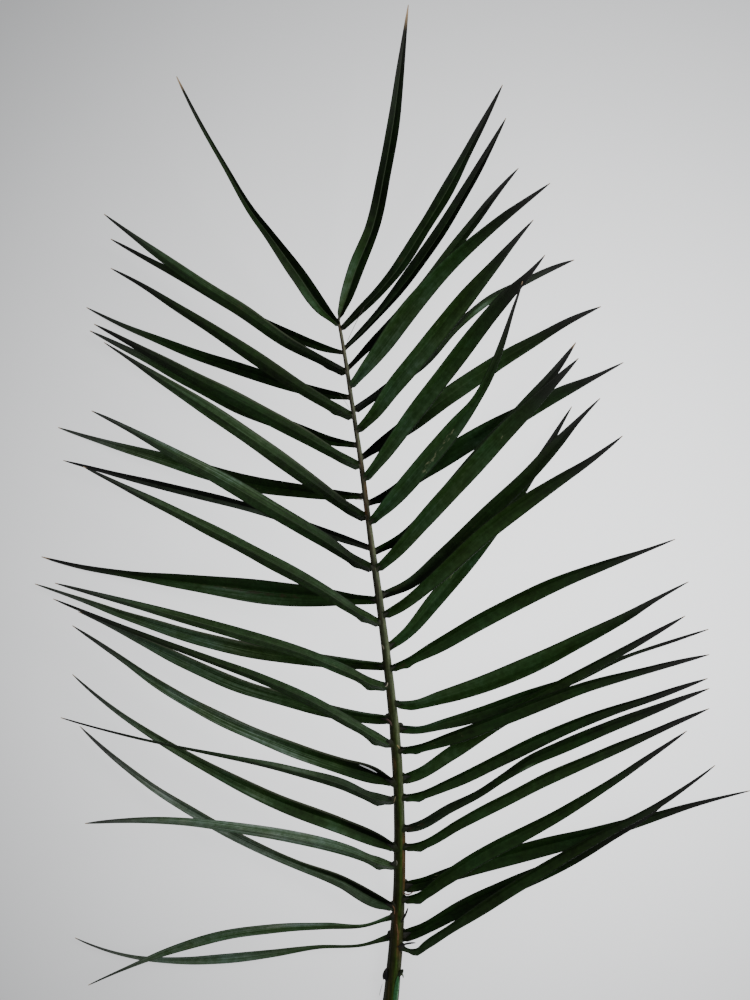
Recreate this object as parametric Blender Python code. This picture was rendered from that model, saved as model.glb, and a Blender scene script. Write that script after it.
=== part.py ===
"""Preserved palm frond, lying on a surface with its upper side up.

One cut pinnate frond: a tapering rachis with a bare stalk below, and folded strap
leaflets along both sides in a front row that lifts and a rear row that hangs down.
It was grown as one piece, so it is one solid. +X is to the frond's right, +Y runs from
the cut butt to the tip, +Z is up, and the surface is z = 0.
"""

import bpy
import numpy as np

MM = 0.001

# Places along the frond are given as they are seen from straight above, over the
# middle of the frond, from this far over the level of the rachis.
EYE_OVER_RACHIS = 833 * MM
EYE_X, EYE_Y = 0 * MM, 300 * MM
RACHIS_LEVEL = 28 * MM

# Rachis and stalk, from the cut butt to the tip: x, y and width.
RACHIS = (
    (-2, -75, 12.0), (4, -35, 10.8), (9.3, 0, 9.6), (12.2, 30, 8.4), (14.2, 60, 7.4),
    (14.8, 92, 6.9), (14.3, 120, 6.5), (11.9, 160, 6.1), (7.6, 200, 5.2), (2.6, 240, 4.7),
    (-3, 280, 3.6), (-8.1, 320, 3.0), (-14.1, 360, 2.4), (-18.7, 390, 2.1), (-22, 408, 1.5),
)
RACHIS_DEPTH = 0.9          # of its width
RACHIS_STATIONS = 40
# Half section as shares of half the width and depth: a flat underside and a top ridge.
RACHIS_SECTION = (
    (-0.35, -0.85), (0.35, -0.85), (0.9, -0.45), (1.0, 0.1), (0.6, 0.66),
    (0.05, 1.0), (-0.6, 0.66), (-1.0, 0.1), (-0.9, -0.45),
)
LIE_END_Y = -30 * MM        # the stalk lies flat on the surface up to here
LIFT_END_Y = 210 * MM       # and the rachis has reached its level here
UNDERSIDE_LEVEL = 26 * MM

# Leaflets. Side -1 is left and 1 is right. Fold 1 is a trough and -1 a ridge. Rib is the
# lower half's share of the width. Tip is the tip's height over the surface, 0 where it
# rests. Then x, y and width along the blade, from the rachis to the needle tip.
FRONT, REAR = 1, -1
LEAFLETS = (
    # The pair at the tip of the rachis.
    (-1, FRONT, 1, 0.5, 40, (-23, 406, 2.6), (-31, 414, 7.5), (-46, 435, 9.0), (-65, 461, 5.6),
     (-72, 470, 4.7), (-90, 500, 2.7), (-107, 530, 2.0), (-119, 554, 1.0)),
    (1, FRONT, 1, 0.5, 46, (-21.5, 409, 2.4), (-18, 422, 6.7), (-12.5, 438, 8.9), (-1.5, 463, 8.0),
     (5.5, 495, 7.3), (11, 526, 6.6), (16, 565, 3.6), (20, 597, 0.9)),
    # Right side, from the tip of the rachis down.
    (1, FRONT, 1, 0.5, 36, (-19.5, 403, 2.4), (0, 423, 4.8), (10, 435, 6.1), (30, 464, 6.9),
     (40, 480, 7.2), (60, 517, 4.2), (76.5, 549, 0.9)),
    (1, REAR, 1, 0.4, 26, (-17.5, 391.5, 2.4), (0, 409.5, 3.2), (20, 434, 6.8), (40, 462.5, 6.4),
     (60, 495.5, 4.8), (78.5, 529, 0.9)),
    (1, REAR, 1, 0.5, 10, (-15, 380, 2.6), (0, 397, 5.4), (20, 419, 6.2), (40, 444, 6.0),
     (60, 467.5, 5.0), (70, 480.5, 3.5), (86, 499, 0.9)),
    (1, FRONT, 1, 0.65, 48, (-13.5, 369, 3.0), (-5, 380, 6.6), (5, 392, 9.6), (25, 417, 9.4),
     (45, 441, 7.6), (65, 459, 5.6), (85, 475, 3.2), (105, 490, 0.9)),
    (1, REAR, -1, 0.5, 0, (-11, 355, 3.0), (7, 367, 5.6), (27, 381, 6.0), (50, 405, 4.6),
     (70, 421, 4.8), (90, 431, 4.0), (100, 436, 3.4), (119.5, 444, 0.9)),
    (1, FRONT, 1, 0.65, 58, (-9.5, 342, 3.4), (0, 352, 6.8), (10, 366, 9.4), (30, 390, 10.2),
     (50, 415, 9.8), (70, 439, 5.8), (80, 451, 3.5), (95, 468, 0.9)),
    (1, REAR, 1, 0.5, 5, (-7, 326, 3.2), (3, 333, 6.4), (15, 341, 9.0), (45, 363, 10.2),
     (75, 383.5, 8.6), (100, 398, 5.2), (120, 409, 3.0), (135.5, 416, 0.9)),
    (1, FRONT, 1, 0.65, 54, (-5.5, 313, 3.4), (7, 329, 7.4), (22, 350, 9.6), (40, 373, 10.4),
     (60, 399, 9.4), (80, 423, 6.6), (90, 433, 4.0), (102, 447, 0.9)),
    (1, REAR, 1, 0.5, 0, (-3, 298.5, 3.2), (8, 303, 6.2), (30, 318, 9.6), (60, 337, 10.0),
     (90, 352.5, 8.2), (110, 363.5, 6.2), (130, 373, 2.8), (149, 382.5, 0.9)),
    (1, FRONT, 1, 0.6, 62, (-1.5, 287.5, 3.6), (8, 297, 8.4), (28, 320, 10.4), (48, 344, 8.4),
     (60, 359, 4.6), (68, 373, 4.4), (75.5, 392, 3.4), (83, 415, 1.8), (88.5, 431, 0.9)),
    (1, REAR, 1, 0.5, 16, (1, 269.5, 3.4), (15, 278, 7.4), (30, 291, 9.0), (60, 323, 9.0),
     (85, 351, 7.4), (105, 374, 4.4), (120.5, 394.5, 0.9)),
    (1, FRONT, 1, 0.65, 46, (2, 259, 3.4), (12, 268, 6.8), (30, 288.5, 9.6), (60, 321, 10.0),
     (80, 343, 9.6), (100, 363, 5.6), (122, 385, 0.9)),
    (1, REAR, 1, 0.5, 20, (4.5, 243, 3.2), (20, 249.5, 6.2), (40, 266, 8.0), (70, 294.5, 8.0),
     (90, 313, 7.4), (110, 335, 5.6), (120, 346, 2.9), (135, 361, 0.9)),
    (1, FRONT, 1, 0.65, 46, (6, 231, 3.4), (15, 236, 5.6), (35, 252, 8.2), (65, 279, 8.7),
     (90, 298, 8.3), (110, 311.5, 5.5), (130, 324.5, 2.6), (148.5, 338.5, 0.9)),
    (1, REAR, 1, 0.5, 4, (9, 212.5, 3.4), (16, 217.5, 5.6), (35, 239, 9.4), (55, 263, 9.4),
     (75, 289, 8.2), (95, 318, 6.2), (110, 343, 2.6), (118, 356, 0.9)),
    (1, FRONT, 1, 0.65, 36, (11.5, 199.5, 3.2), (20, 203, 4.6), (35, 211, 8.4), (60, 225.3, 9.3),
     (90, 241.3, 8.6), (120, 254.8, 6.7), (140, 262, 4.6), (160, 269, 2.2), (180, 276.5, 0.9)),
    (1, FRONT, 1, 0.35, 32, (13, 177.8, 3.0), (20, 177.3, 4.4), (40, 182, 8.0), (60, 188.3, 9.4),
     (90, 200.4, 9.4), (120, 215, 7.4), (150, 230.3, 4.5), (170, 241.5, 2.0), (188, 251, 0.9)),
    (1, REAR, 1, 0.6, 10, (15, 163, 3.0), (25, 162.2, 4.0), (42, 166, 6.4), (62, 171.5, 8.2),
     (90, 181.5, 8.4), (120, 193, 5.0), (150, 206, 2.6), (180, 216, 2.0), (200, 222.5, 0.9)),
    (1, FRONT, 1, 0.65, 42, (17, 150, 3.0), (25, 151, 4.4), (45, 157, 7.6), (70, 166.5, 7.6),
     (100, 178.5, 6.8), (130, 189.3, 5.2), (160, 197.5, 3.6), (200.5, 207.3, 0.9)),
    (1, REAR, 1, 0.65, 24, (17, 133, 3.6), (25, 135.5, 6.0), (45, 148, 8.8), (75, 168, 8.2),
     (105, 186, 6.6), (135, 202.5, 4.8), (160, 216, 3.2), (186, 230.5, 0.9)),
    (1, FRONT, 1, 0.65, 16, (17, 121.5, 3.0), (25, 122.5, 4.2), (45, 130, 6.6), (75, 144.5, 6.8),
     (105, 159, 6.2), (135, 171.5, 4.8), (165, 181.5, 3.0), (199.5, 193, 0.9)),
    (1, FRONT, 1, 0.5, 28, (18, 103, 3.2), (25, 104.5, 4.8), (45, 115.5, 5.5), (62, 124, 4.4),
     (77, 134, 4.0), (92, 143.5, 5.8), (112, 152.5, 6.6), (142, 165, 5.6), (172, 176.5, 3.4),
     (200.5, 187, 0.9)),
    (1, FRONT, 1, 0.65, 16, (18.5, 92, 3.0), (25, 92.7, 4.2), (50, 105.7, 6.7), (80, 121.2, 6.8),
     (110, 136.4, 6.4), (140, 149.5, 5.2), (170, 162.5, 3.4), (200.5, 175, 0.9)),
    (1, REAR, 1, 0.5, 0, (17.5, 68.5, 4.4), (25, 69.5, 6.0), (42, 75, 8.4), (65, 82.5, 10.0),
     (95, 91, 10.4), (125, 98.5, 8.8), (152, 106, 6.4), (190, 117.2, 2.7), (225, 125.7, 0.9)),
    (1, FRONT, 1, 0.6, 30, (17, 60.5, 3.2), (24, 61.5, 4.8), (42, 73, 8.2), (62, 86, 8.6),
     (92, 102, 7.4), (122, 119, 5.4), (152, 138, 3.2), (187, 161.5, 0.9)),
    (1, REAR, 1, 0.5, 14, (17, 39, 4.4), (25, 41.5, 6.0), (50, 55, 8.4), (80, 69, 8.2),
     (110, 81.5, 6.6), (140, 98, 4.6), (160, 109, 2.6), (175, 119, 0.9)),
    (1, FRONT, 1, 0.6, 34, (16.5, 33, 2.6), (20, 29.2, 2.6), (25, 28.5, 3.2), (45, 43, 5.8),
     (75, 62.5, 8.0), (100, 78.5, 7.8), (135, 99, 5.8), (170, 117.5, 3.4), (204, 141, 0.9)),
    # Left side, from the tip of the rachis down.
    (-1, REAR, 1, 0.5, 12, (-20, 388.5, 2.6), (-30, 391, 4.2), (-50, 398.5, 5.4), (-80, 412.5, 5.6),
     (-110, 430, 4.6), (-140, 446.3, 2.5), (-158.5, 456.5, 0.9)),
    (-1, FRONT, -1, 0.5, 42, (-17.5, 376.5, 3.0), (-30, 382.8, 5.2), (-50, 393.2, 6.6),
     (-80, 413.8, 7.6), (-105, 430, 6.5), (-130, 447.5, 4.3), (-150, 462, 1.8), (-162.5, 471.5, 0.9)),
    (-1, REAR, 1, 0.5, 0, (-16, 361.5, 3.0), (-25, 362.8, 4.8), (-45, 367, 6.6), (-75, 376.5, 7.0),
     (-105, 386.2, 5.6), (-135, 398, 3.6), (-155, 406.5, 2.2), (-173, 415.5, 0.9)),
    (-1, FRONT, -1, 0.5, 48, (-13.5, 350, 3.2), (-25, 355.8, 6.0), (-45, 367.6, 7.8),
     (-75, 387.5, 7.8), (-100, 404, 5.6), (-120, 416.5, 4.2), (-140, 429, 2.2), (-158.5, 439, 0.9)),
    (-1, REAR, 1, 0.5, 6, (-12.5, 333, 3.0), (-25, 335, 5.2), (-45, 341.7, 7.0), (-80, 355, 7.0),
     (-110, 370, 6.0), (-140, 386, 3.8), (-171, 401.5, 0.9)),
    (-1, FRONT, -1, 0.5, 52, (-10, 320.5, 3.4), (-20, 325.5, 5.6), (-40, 337, 8.3), (-80, 358.5, 8.4),
     (-110, 374.2, 6.8), (-140, 390.5, 3.8), (-168.5, 405.5, 0.9)),
    (-1, REAR, 1, 0.5, 0, (-8, 302.3, 3.0), (-25, 303.3, 6.0), (-45, 305.5, 7.8), (-80, 311, 8.0),
     (-110, 319.5, 7.4), (-130, 325.5, 6.0), (-160, 334, 2.8), (-190, 343.5, 0.9)),
    (-1, FRONT, -1, 0.5, 58, (-6, 289.8, 3.4), (-15, 294.7, 5.4), (-35, 308.8, 8.4),
     (-75, 337.3, 8.4), (-105, 357.5, 7.0), (-130, 373.5, 3.8), (-150, 386.5, 1.4),
     (-162.5, 394.5, 0.9)),
    (-1, REAR, 1, 0.5, 8, (-5, 271.8, 3.0), (-20, 277, 4.6), (-42, 285, 5.0), (-75, 295.5, 5.0),
     (-105, 303, 5.0), (-145, 312.8, 3.6), (-187, 323.7, 0.9)),
    (-1, FRONT, -1, 0.5, 54, (-3.5, 260, 3.4), (-10, 262.7, 4.6), (-30, 275.5, 8.0),
     (-60, 293.5, 8.5), (-90, 311.3, 8.0), (-120, 327.5, 5.6), (-150, 343.8, 2.2),
     (-170, 353.5, 0.9)),
    (-1, REAR, 1, 0.5, 0, (0.5, 240, 3.2), (-8, 240.3, 5.0), (-30, 242, 10.6), (-60, 244.3, 13.6),
     (-90, 247.8, 11.2), (-120, 251.7, 7.4), (-150, 255.8, 3.2), (-180, 260.8, 1.8), (-200, 266, 0.9)),
    (-1, FRONT, -1, 0.5, 52, (2.5, 226.5, 3.4), (-10, 232.3, 5.6), (-30, 245, 7.6), (-70, 267, 7.6),
     (-110, 287.8, 6.0), (-150, 307.7, 3.0), (-175, 320, 0.9)),
    (-1, REAR, 1, 0.5, 3, (4.5, 200.5, 3.2), (-5, 201, 4.8), (-27, 203.3, 7.4), (-55, 206.8, 8.6),
     (-90, 213.4, 8.6), (-120, 221.5, 7.0), (-150, 231.2, 4.8), (-180, 241.7, 2.4),
     (-204, 249.7, 0.9)),
    (-1, FRONT, -1, 0.5, 46, (7, 188.5, 3.4), (0, 189.5, 4.4), (-15, 196.2, 6.6), (-40, 206.7, 6.8),
     (-80, 219.4, 6.8), (-120, 230.7, 5.4), (-160, 241.6, 3.0), (-192, 250.2, 0.9)),
    (-1, REAR, 1, 0.5, 6, (8.5, 168.5, 3.2), (0, 169, 5.0), (-20, 172, 7.6), (-50, 179.8, 8.4),
     (-80, 188.7, 8.6), (-110, 201.5, 8.2), (-140, 215.7, 5.2), (-160, 225.5, 3.0), (-178, 233, 0.9)),
    (-1, FRONT, -1, 0.5, 44, (9.5, 154, 3.4), (2, 157, 4.6), (-10, 163.5, 6.4), (-40, 180.3, 6.8),
     (-70, 193.5, 5.2), (-100, 204.5, 3.8), (-140, 219.5, 2.6), (-193, 240.7, 0.9)),
    (-1, FRONT, 1, 0.5, 20, (10, 131, 4.0), (0, 134, 7.4), (-20, 140.3, 8.4), (-60, 155, 7.6),
     (-100, 173, 6.2), (-130, 190, 4.2), (-155, 207.2, 2.4), (-181.5, 224.7, 0.9)),
    (-1, FRONT, -1, 0.5, 40, (10, 120.5, 3.4), (0, 121.5, 5.0), (-20, 129.5, 6.6), (-50, 138, 5.2),
     (-80, 144.5, 3.4), (-110, 150.3, 1.8), (-150, 159, 1.4), (-188.5, 169.5, 0.9)),
    (-1, FRONT, 1, 0.5, 14, (10, 92.5, 4.0), (2, 95.5, 6.6), (-20, 104.3, 8.4), (-60, 120.3, 8.4),
     (-100, 140, 5.6), (-130, 157.2, 3.7), (-155, 173.5, 2.0), (-181.5, 195.5, 0.9)),
    (-1, FRONT, -1, 0.5, 36, (10, 81.5, 3.2), (0, 83.5, 4.8), (-15, 89, 6.8), (-50, 97.8, 7.0),
     (-80, 103, 6.5), (-110, 106.8, 5.0), (-140, 108, 3.4), (-174, 106, 0.9)),
    (-1, FRONT, 1, 0.5, 8, (9, 57, 4.0), (2, 59, 6.6), (-20, 71, 6.8), (-45, 81, 5.0),
     (-75, 94.3, 4.7), (-105, 110.7, 4.9), (-135, 129.5, 3.5), (-177, 164.3, 0.9)),
    (-1, FRONT, 1, 0.5, 26, (9, 49.8, 2.6), (4, 48, 2.0), (-4, 45.3, 2.0), (-30, 45, 4.0),
     (-60, 43.6, 5.0), (-90, 39.5, 5.4), (-120, 31.2, 4.5), (-145, 21.2, 2.0), (-172, 9, 0.9)),
    (-1, REAR, 1, 0.5, 3, (8.5, 38.3, 2.6), (3, 36.2, 2.2), (-5, 33.7, 2.0), (-35, 32, 2.4),
     (-60, 28.8, 4.0), (-90, 25.5, 4.8), (-120, 24.2, 3.2), (-145, 26.2, 1.9), (-180, 37.5, 0.9)),
)
LEAFLET_STATIONS = 13
STATION_CROWDING = 1.25     # above 1 it draws the stations towards the rachis
LIFT_CURVE = 1.7            # above 1 a leaflet turns up or down early, then levels out
ROOT_OFFSET = 0.22          # of the rachis' depth, up for the front row, down for the rear
BLADE_THICKNESS = 0.8 * MM
TIP_THICKNESS = 0.62 * MM
FOLD_WIDE, FOLD_EVEN = np.radians(8), np.radians(36)
RIB_WIDE = 0.8              # the lower half's share at which it lies nearly flat
FOLD_CLOSED = np.radians(50)
CLOSED_LENGTH = 26 * MM     # the fold opens over this length from the rachis
NARROW, FULL = 1.5 * MM, 4.5 * MM
STEEPEST = np.radians(66)

# Dry stubs of lost leaflets and short spines: x, y, the tip's x, y, rise and thickness.
STUBS = (
    (10.5, 13, 4.6, 16, 2.0, 3.6),
    (11, 14, 16.6, 16.5, 2.5, 3.0),
    (13.4, 48, 19.5, 54.5, 3.0, 0.9),
    (12.6, 33.8, 23.5, 34.2, 3.0, 0.9),
)
STUB_SIDES = 6

LEAF_COLOUR = (0.028, 0.075, 0.024, 1)
RACHIS_COLOUR = (0.20, 0.17, 0.07, 1)
LEAF_ROUGHNESS, RACHIS_ROUGHNESS = 0.5, 0.6


def clear_scene():
    for obj in list(bpy.data.objects):
        bpy.data.objects.remove(obj)


def material(name, colour, roughness):
    made = bpy.data.materials.new(name)
    made.use_nodes = True
    shader = made.node_tree.nodes["Principled BSDF"]
    shader.inputs["Base Color"].default_value = colour
    shader.inputs["Roughness"].default_value = roughness
    shader.inputs["Metallic"].default_value = 0
    return made


def curve_through(points, shares):
    """Values at the given shares of length of a smooth curve through the points.

    Cubic pieces between neighbours, whose slopes are those of the parabola through each
    point and the two beside it. Length is measured straight from point to point in x, y.
    """
    points = np.array(points, float)
    steps = np.linalg.norm(np.diff(points[:, :2], axis=0), axis=1)
    knots = np.concatenate([[0], np.cumsum(steps)])
    slopes = np.gradient(points, knots, axis=0, edge_order=2)
    at = np.asarray(shares) * knots[-1]
    piece = np.clip(np.searchsorted(knots, at, side="right") - 1, 0, len(steps) - 1)
    span = steps[piece]
    u = ((at - knots[piece]) / span)[:, None]
    span = span[:, None]
    start, end = points[piece], points[piece + 1]
    return (
        start * (1 + 2 * u) * (1 - u) ** 2
        + end * u**2 * (3 - 2 * u)
        + span * slopes[piece] * u * (1 - u) ** 2
        - span * slopes[piece + 1] * u**2 * (1 - u)
    )


def ease(share):
    """0 to 1 with level ends."""
    share = np.clip(share, 0, 1)
    return share * share * (3 - 2 * share)


def true_place(seen, height):
    """Seen x, y moved towards or away from the eye's axis by the height over the rachis."""
    eye = np.array([EYE_X, EYE_Y])
    shrink = 1 - (height - RACHIS_LEVEL) / EYE_OVER_RACHIS
    return eye + (seen - eye) * shrink[:, None], shrink


def underside(seen_y):
    return UNDERSIDE_LEVEL * ease((seen_y - LIE_END_Y) / (LIFT_END_Y - LIE_END_Y))


def rachis_at(seen_y):
    """x, width and the height of the middle of the rachis where it is seen at this y."""
    table = np.array(RACHIS) * MM
    shares = np.linspace(0, 1, 200)
    x, y, width = curve_through(table, shares).T
    width = np.interp(seen_y, y, width)
    middle = underside(seen_y) - RACHIS_SECTION[0][1] * RACHIS_DEPTH * width / 2
    return np.interp(seen_y, y, x), width, middle


def mesh_object(name, points, faces, finish):
    mesh = bpy.data.meshes.new(name)
    mesh.from_pydata([tuple(point) for point in points], [], faces)
    mesh.materials.append(finish)
    mesh.shade_smooth()
    mesh.set_sharp_from_angle(angle=np.radians(35))
    obj = bpy.data.objects.new(name, mesh)
    return obj


def skin(rings, sides, turned):
    """Triangles over rings of points, with one flat face on each end.

    Each side strip is split along the diagonal that starts at its first point, or its
    second where turned says so, so that a blade's two faces are split alike.
    """
    faces = []
    for ring in range(rings - 1):
        for side in range(sides):
            a, b = ring * sides + side, ring * sides + (side + 1) % sides
            c, d = a + sides, b + sides
            faces += [(a, c, b), (b, c, d)] if turned[side] else [(a, d, b), (a, c, d)]
    last = (rings - 1) * sides
    faces.append(tuple(range(sides)))
    faces.append(tuple(range(last + sides - 1, last - 1, -1)))
    return faces


def make_rachis(finish):
    seen_y = np.linspace(RACHIS[0][1], RACHIS[-1][1], RACHIS_STATIONS) * MM
    seen_x, width, middle = rachis_at(seen_y)
    place, shrink = true_place(np.stack([seen_x, seen_y], axis=1), middle)
    across = np.array(RACHIS_SECTION)
    half = (width * shrink / 2)[:, None]
    rings = np.empty((RACHIS_STATIONS, len(across), 3))
    rings[..., 0] = place[:, :1] + half * across[:, 0]
    rings[..., 1] = place[:, 1:]
    rings[..., 2] = middle[:, None] + (RACHIS_DEPTH * width / 2)[:, None] * across[:, 1]
    faces = skin(RACHIS_STATIONS, len(across), [False] * len(across))
    return mesh_object("frond", rings.reshape(-1, 3), faces, finish)


def blade_path(row, tip_height, points):
    """Places, widths and headings along a leaflet, from inside the rachis to its tip."""
    points = np.array(points, float) * MM
    heading = points[1, :2] - points[0, :2]
    heading /= np.linalg.norm(heading)
    rachis_x, rachis_width, middle = rachis_at(points[0, 1])
    back = (points[0, 0] - rachis_x) / heading[0]
    back = np.clip(back, rachis_width / 4, rachis_width)
    root = np.append(points[0, :2] - back * heading, points[0, 2])
    points = np.vstack([root, points])
    shares = np.linspace(0, 1, LEAFLET_STATIONS) ** STATION_CROWDING
    x, y, width = curve_through(points, shares).T
    start = middle + row * ROOT_OFFSET * RACHIS_DEPTH * rachis_width
    lift = 1 - (1 - shares) ** LIFT_CURVE
    height = start + (tip_height * MM - start) * lift
    place, shrink = true_place(np.stack([x, y], axis=1), height)
    return shares, np.column_stack([place, height]), width * shrink


def folded_section(width, rib, fold, gone, thickness):
    """The six corners of a folded blade, across and up from the bottom of its midrib.

    The two halves are as wide as each other when laid flat. Their slopes follow from the
    rib's place and from how far the fold has opened, which a narrow blade has most.
    """
    even = (RIB_WIDE - max(rib, 1 - rib)) / (RIB_WIDE - 0.5)
    opened = FOLD_WIDE + even * (FOLD_EVEN - FOLD_WIDE)
    slope = FOLD_CLOSED + (opened - FOLD_CLOSED) * ease(gone / CLOSED_LENGTH)
    slope = slope * np.clip((width - NARROW) / (FULL - NARROW), 0, 1)
    share = max(rib, 1 - rib)
    flat = share * width / np.cos(slope)
    steep = np.arccos(np.clip((1 - share) * width / flat, np.cos(STEEPEST), 1))
    steep = steep * np.clip((width - NARROW) / (FULL - NARROW), 0, 1)
    low, high = (slope, steep) if rib >= 0.5 else (steep, slope)
    low, high = fold * low, fold * high
    low_normal = np.stack([np.sin(low), np.cos(low)], axis=1)
    high_normal = np.stack([-np.sin(high), np.cos(high)], axis=1)
    low_edge = np.stack([-rib * width, rib * width * np.tan(low)], axis=1)
    high_edge = np.stack([(1 - rib) * width, (1 - rib) * width * np.tan(high)], axis=1)
    meeting = 1 + (low_normal * high_normal).sum(axis=1)
    keel = -(low_normal + high_normal) * (thickness / meeting)[:, None]
    thick = thickness[:, None]
    corners = np.stack(
        [
            low_edge,
            np.zeros_like(low_edge),
            high_edge,
            high_edge - thick * high_normal,
            keel,
            low_edge - thick * low_normal,
        ],
        axis=1,
    )
    corners[..., 0] -= ((0.5 - rib) * width)[:, None]
    return corners


def make_leaflet(name, finish, side, row, fold, rib, tip_height, *points):
    shares, path, width = blade_path(row, tip_height, points)
    length = np.linalg.norm(np.diff(path, axis=0), axis=1).sum()
    thickness = BLADE_THICKNESS + (TIP_THICKNESS - BLADE_THICKNESS) * shares
    corners = folded_section(width, rib, fold, shares * length, thickness)
    # The middle of the section's height is on the path at the root, its underside at the tip.
    lowest, highest = corners[..., 1].min(axis=1), corners[..., 1].max(axis=1)
    sunk = (1 - shares) * (lowest + highest) / 2 + shares * lowest
    along = np.gradient(path[:, :2], axis=0)
    along /= np.linalg.norm(along, axis=1)[:, None]
    # The upper half is the one towards the frond's tip, which is on the blade's left
    # on the right side of the frond.
    towards_tip = side * np.stack([-along[:, 1], along[:, 0]], axis=1)
    rings = np.empty((LEAFLET_STATIONS, 6, 3))
    rings[..., :2] = path[:, None, :2] + corners[..., :1] * towards_tip[:, None]
    rings[..., 2] = path[:, 2:] + corners[..., 1] - sunk[:, None]
    turned = [False, True, False, True, False, False]
    faces = skin(LEAFLET_STATIONS, 6, turned)
    if side < 0:
        faces = [face[::-1] for face in faces]
    return mesh_object(name, rings.reshape(-1, 3), faces, finish)


def make_stub(name, finish, x, y, tip_x, tip_y, rise, thickness):
    """A tapering peg with a cut tip, from inside the rachis to its seen tip."""
    seen = np.array([[x, y], [tip_x, tip_y]]) * MM
    height = rachis_at(seen[0, 1])[2] + np.array([0, rise]) * MM
    place, _ = true_place(seen, height)
    ends = np.column_stack([place, height])
    axis = ends[1] - ends[0]
    axis /= np.linalg.norm(axis)
    aside = np.cross(axis, (0, 0, 1))
    aside /= np.linalg.norm(aside)
    up = np.cross(aside, axis)
    angles = np.arange(STUB_SIDES) * 2 * np.pi / STUB_SIDES
    spoke = np.cos(angles)[:, None] * aside + np.sin(angles)[:, None] * up
    radii = np.array([thickness, max(0.6, thickness / 3)]) * MM / 2
    rings = ends[:, None] + radii[:, None, None] * spoke
    faces = skin(2, STUB_SIDES, [False] * STUB_SIDES)
    return mesh_object(name, rings.reshape(-1, 3), faces, finish)


def join_to(base, parts):
    """One Boolean union of the base with all the parts, applied; the parts are removed."""
    grown = bpy.data.collections.new("grown_on")
    bpy.context.scene.collection.children.link(grown)
    for part in parts:
        grown.objects.link(part)
    union = base.modifiers.new("union", "BOOLEAN")
    union.operation = "UNION"
    union.operand_type = "COLLECTION"
    union.collection = grown
    union.solver = "MANIFOLD"
    graph = bpy.context.evaluated_depsgraph_get()
    fused = bpy.data.meshes.new_from_object(base.evaluated_get(graph), depsgraph=graph)
    base.modifiers.clear()
    base.data = fused
    for part in parts:
        bpy.data.objects.remove(part)
    bpy.data.collections.remove(grown)


def stand_on_origin(obj):
    """The origin is moved to the middle of the box's underside."""
    count = len(obj.data.vertices)
    points = np.empty(count * 3, np.float32)
    obj.data.vertices.foreach_get("co", points)
    points = points.reshape(-1, 3).astype(float)
    low, high = points.min(axis=0), points.max(axis=0)
    points -= [(low[0] + high[0]) / 2, (low[1] + high[1]) / 2, low[2]]
    obj.data.vertices.foreach_set("co", points.ravel())
    obj.data.update()


clear_scene()
leaf = material("leaflet", LEAF_COLOUR, LEAF_ROUGHNESS)
bark = material("rachis", RACHIS_COLOUR, RACHIS_ROUGHNESS)
frond = make_rachis(bark)
bpy.context.scene.collection.objects.link(frond)
grown = [
    make_leaflet(f"leaflet_{number}", leaf, *row) for number, row in enumerate(LEAFLETS, 1)
]
grown += [make_stub(f"stub_{number}", bark, *row) for number, row in enumerate(STUBS, 1)]
join_to(frond, grown)
stand_on_origin(frond)
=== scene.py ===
"""Looks of the preserved palm frond, laid on a pale surface and seen from straight above."""

import bpy
import numpy as np
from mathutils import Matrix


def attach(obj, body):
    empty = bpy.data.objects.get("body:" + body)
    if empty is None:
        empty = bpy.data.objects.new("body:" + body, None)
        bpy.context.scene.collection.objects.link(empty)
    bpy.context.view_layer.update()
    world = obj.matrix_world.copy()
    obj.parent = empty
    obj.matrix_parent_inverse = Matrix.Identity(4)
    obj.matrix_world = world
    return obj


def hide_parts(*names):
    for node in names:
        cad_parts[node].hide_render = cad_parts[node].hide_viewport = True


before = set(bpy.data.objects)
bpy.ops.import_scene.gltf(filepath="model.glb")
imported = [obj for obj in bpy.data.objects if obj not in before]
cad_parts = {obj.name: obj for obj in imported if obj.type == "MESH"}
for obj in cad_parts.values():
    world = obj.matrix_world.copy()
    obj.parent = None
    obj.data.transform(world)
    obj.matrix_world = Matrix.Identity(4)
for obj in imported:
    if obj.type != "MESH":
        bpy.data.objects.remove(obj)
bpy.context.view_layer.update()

MM = 0.001

# The view. The lens is a normal one over the middle of the frond, looking straight down
# with the frond's tip at the top of the picture. Places on the frond are given as they
# are seen from there, in mm on the level of the rachis, with the frame's origin at ORIGIN.
ORIGIN = np.array([11.2, 252.55])
EYE = np.array([0.0, 300.0])
RACHIS_LEVEL = 28.0
EYE_OVER_RACHIS = 833.0
LENS, FILM_WIDTH, SIGHT_END = 50, 36, 20

camera = bpy.data.objects.new("camera", bpy.data.cameras.new("camera"))
camera.data.lens = LENS
camera.data.sensor_width = FILM_WIDTH
camera.data.clip_end = SIGHT_END
camera.location = [*((EYE - ORIGIN) * MM), (RACHIS_LEVEL + EYE_OVER_RACHIS) * MM]
bpy.context.scene.collection.objects.link(camera)
bpy.context.scene.camera = camera


def true_place(seen, height):
    """Where in the frame something seen at x, y is, and how much smaller it is there.

    It lies nearer to the eye's axis by 1 - (height over the rachis) / EYE_OVER_RACHIS.
    """
    shrink = 1 - (height - RACHIS_LEVEL) / EYE_OVER_RACHIS
    return EYE + (seen - EYE) * shrink[..., None] - ORIGIN, shrink


# The surface it lies on: a smooth pale board with a painted pool of light on it, brighter right
# of the middle. The board glows a little though it is no lamp, so that the frond's shadow stays faint.
FLOOR_SIDE = 6.0
FLOOR_COLOUR = (0.28, 0.282, 0.286, 1)
GLOW_COLOUR = (0.99, 1, 1.015, 1)
GLOW_STRENGTH = 1.85
POOL_MIDDLE = (0.10, 0.0, 0)
POOL_REACH = 0.36


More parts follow.
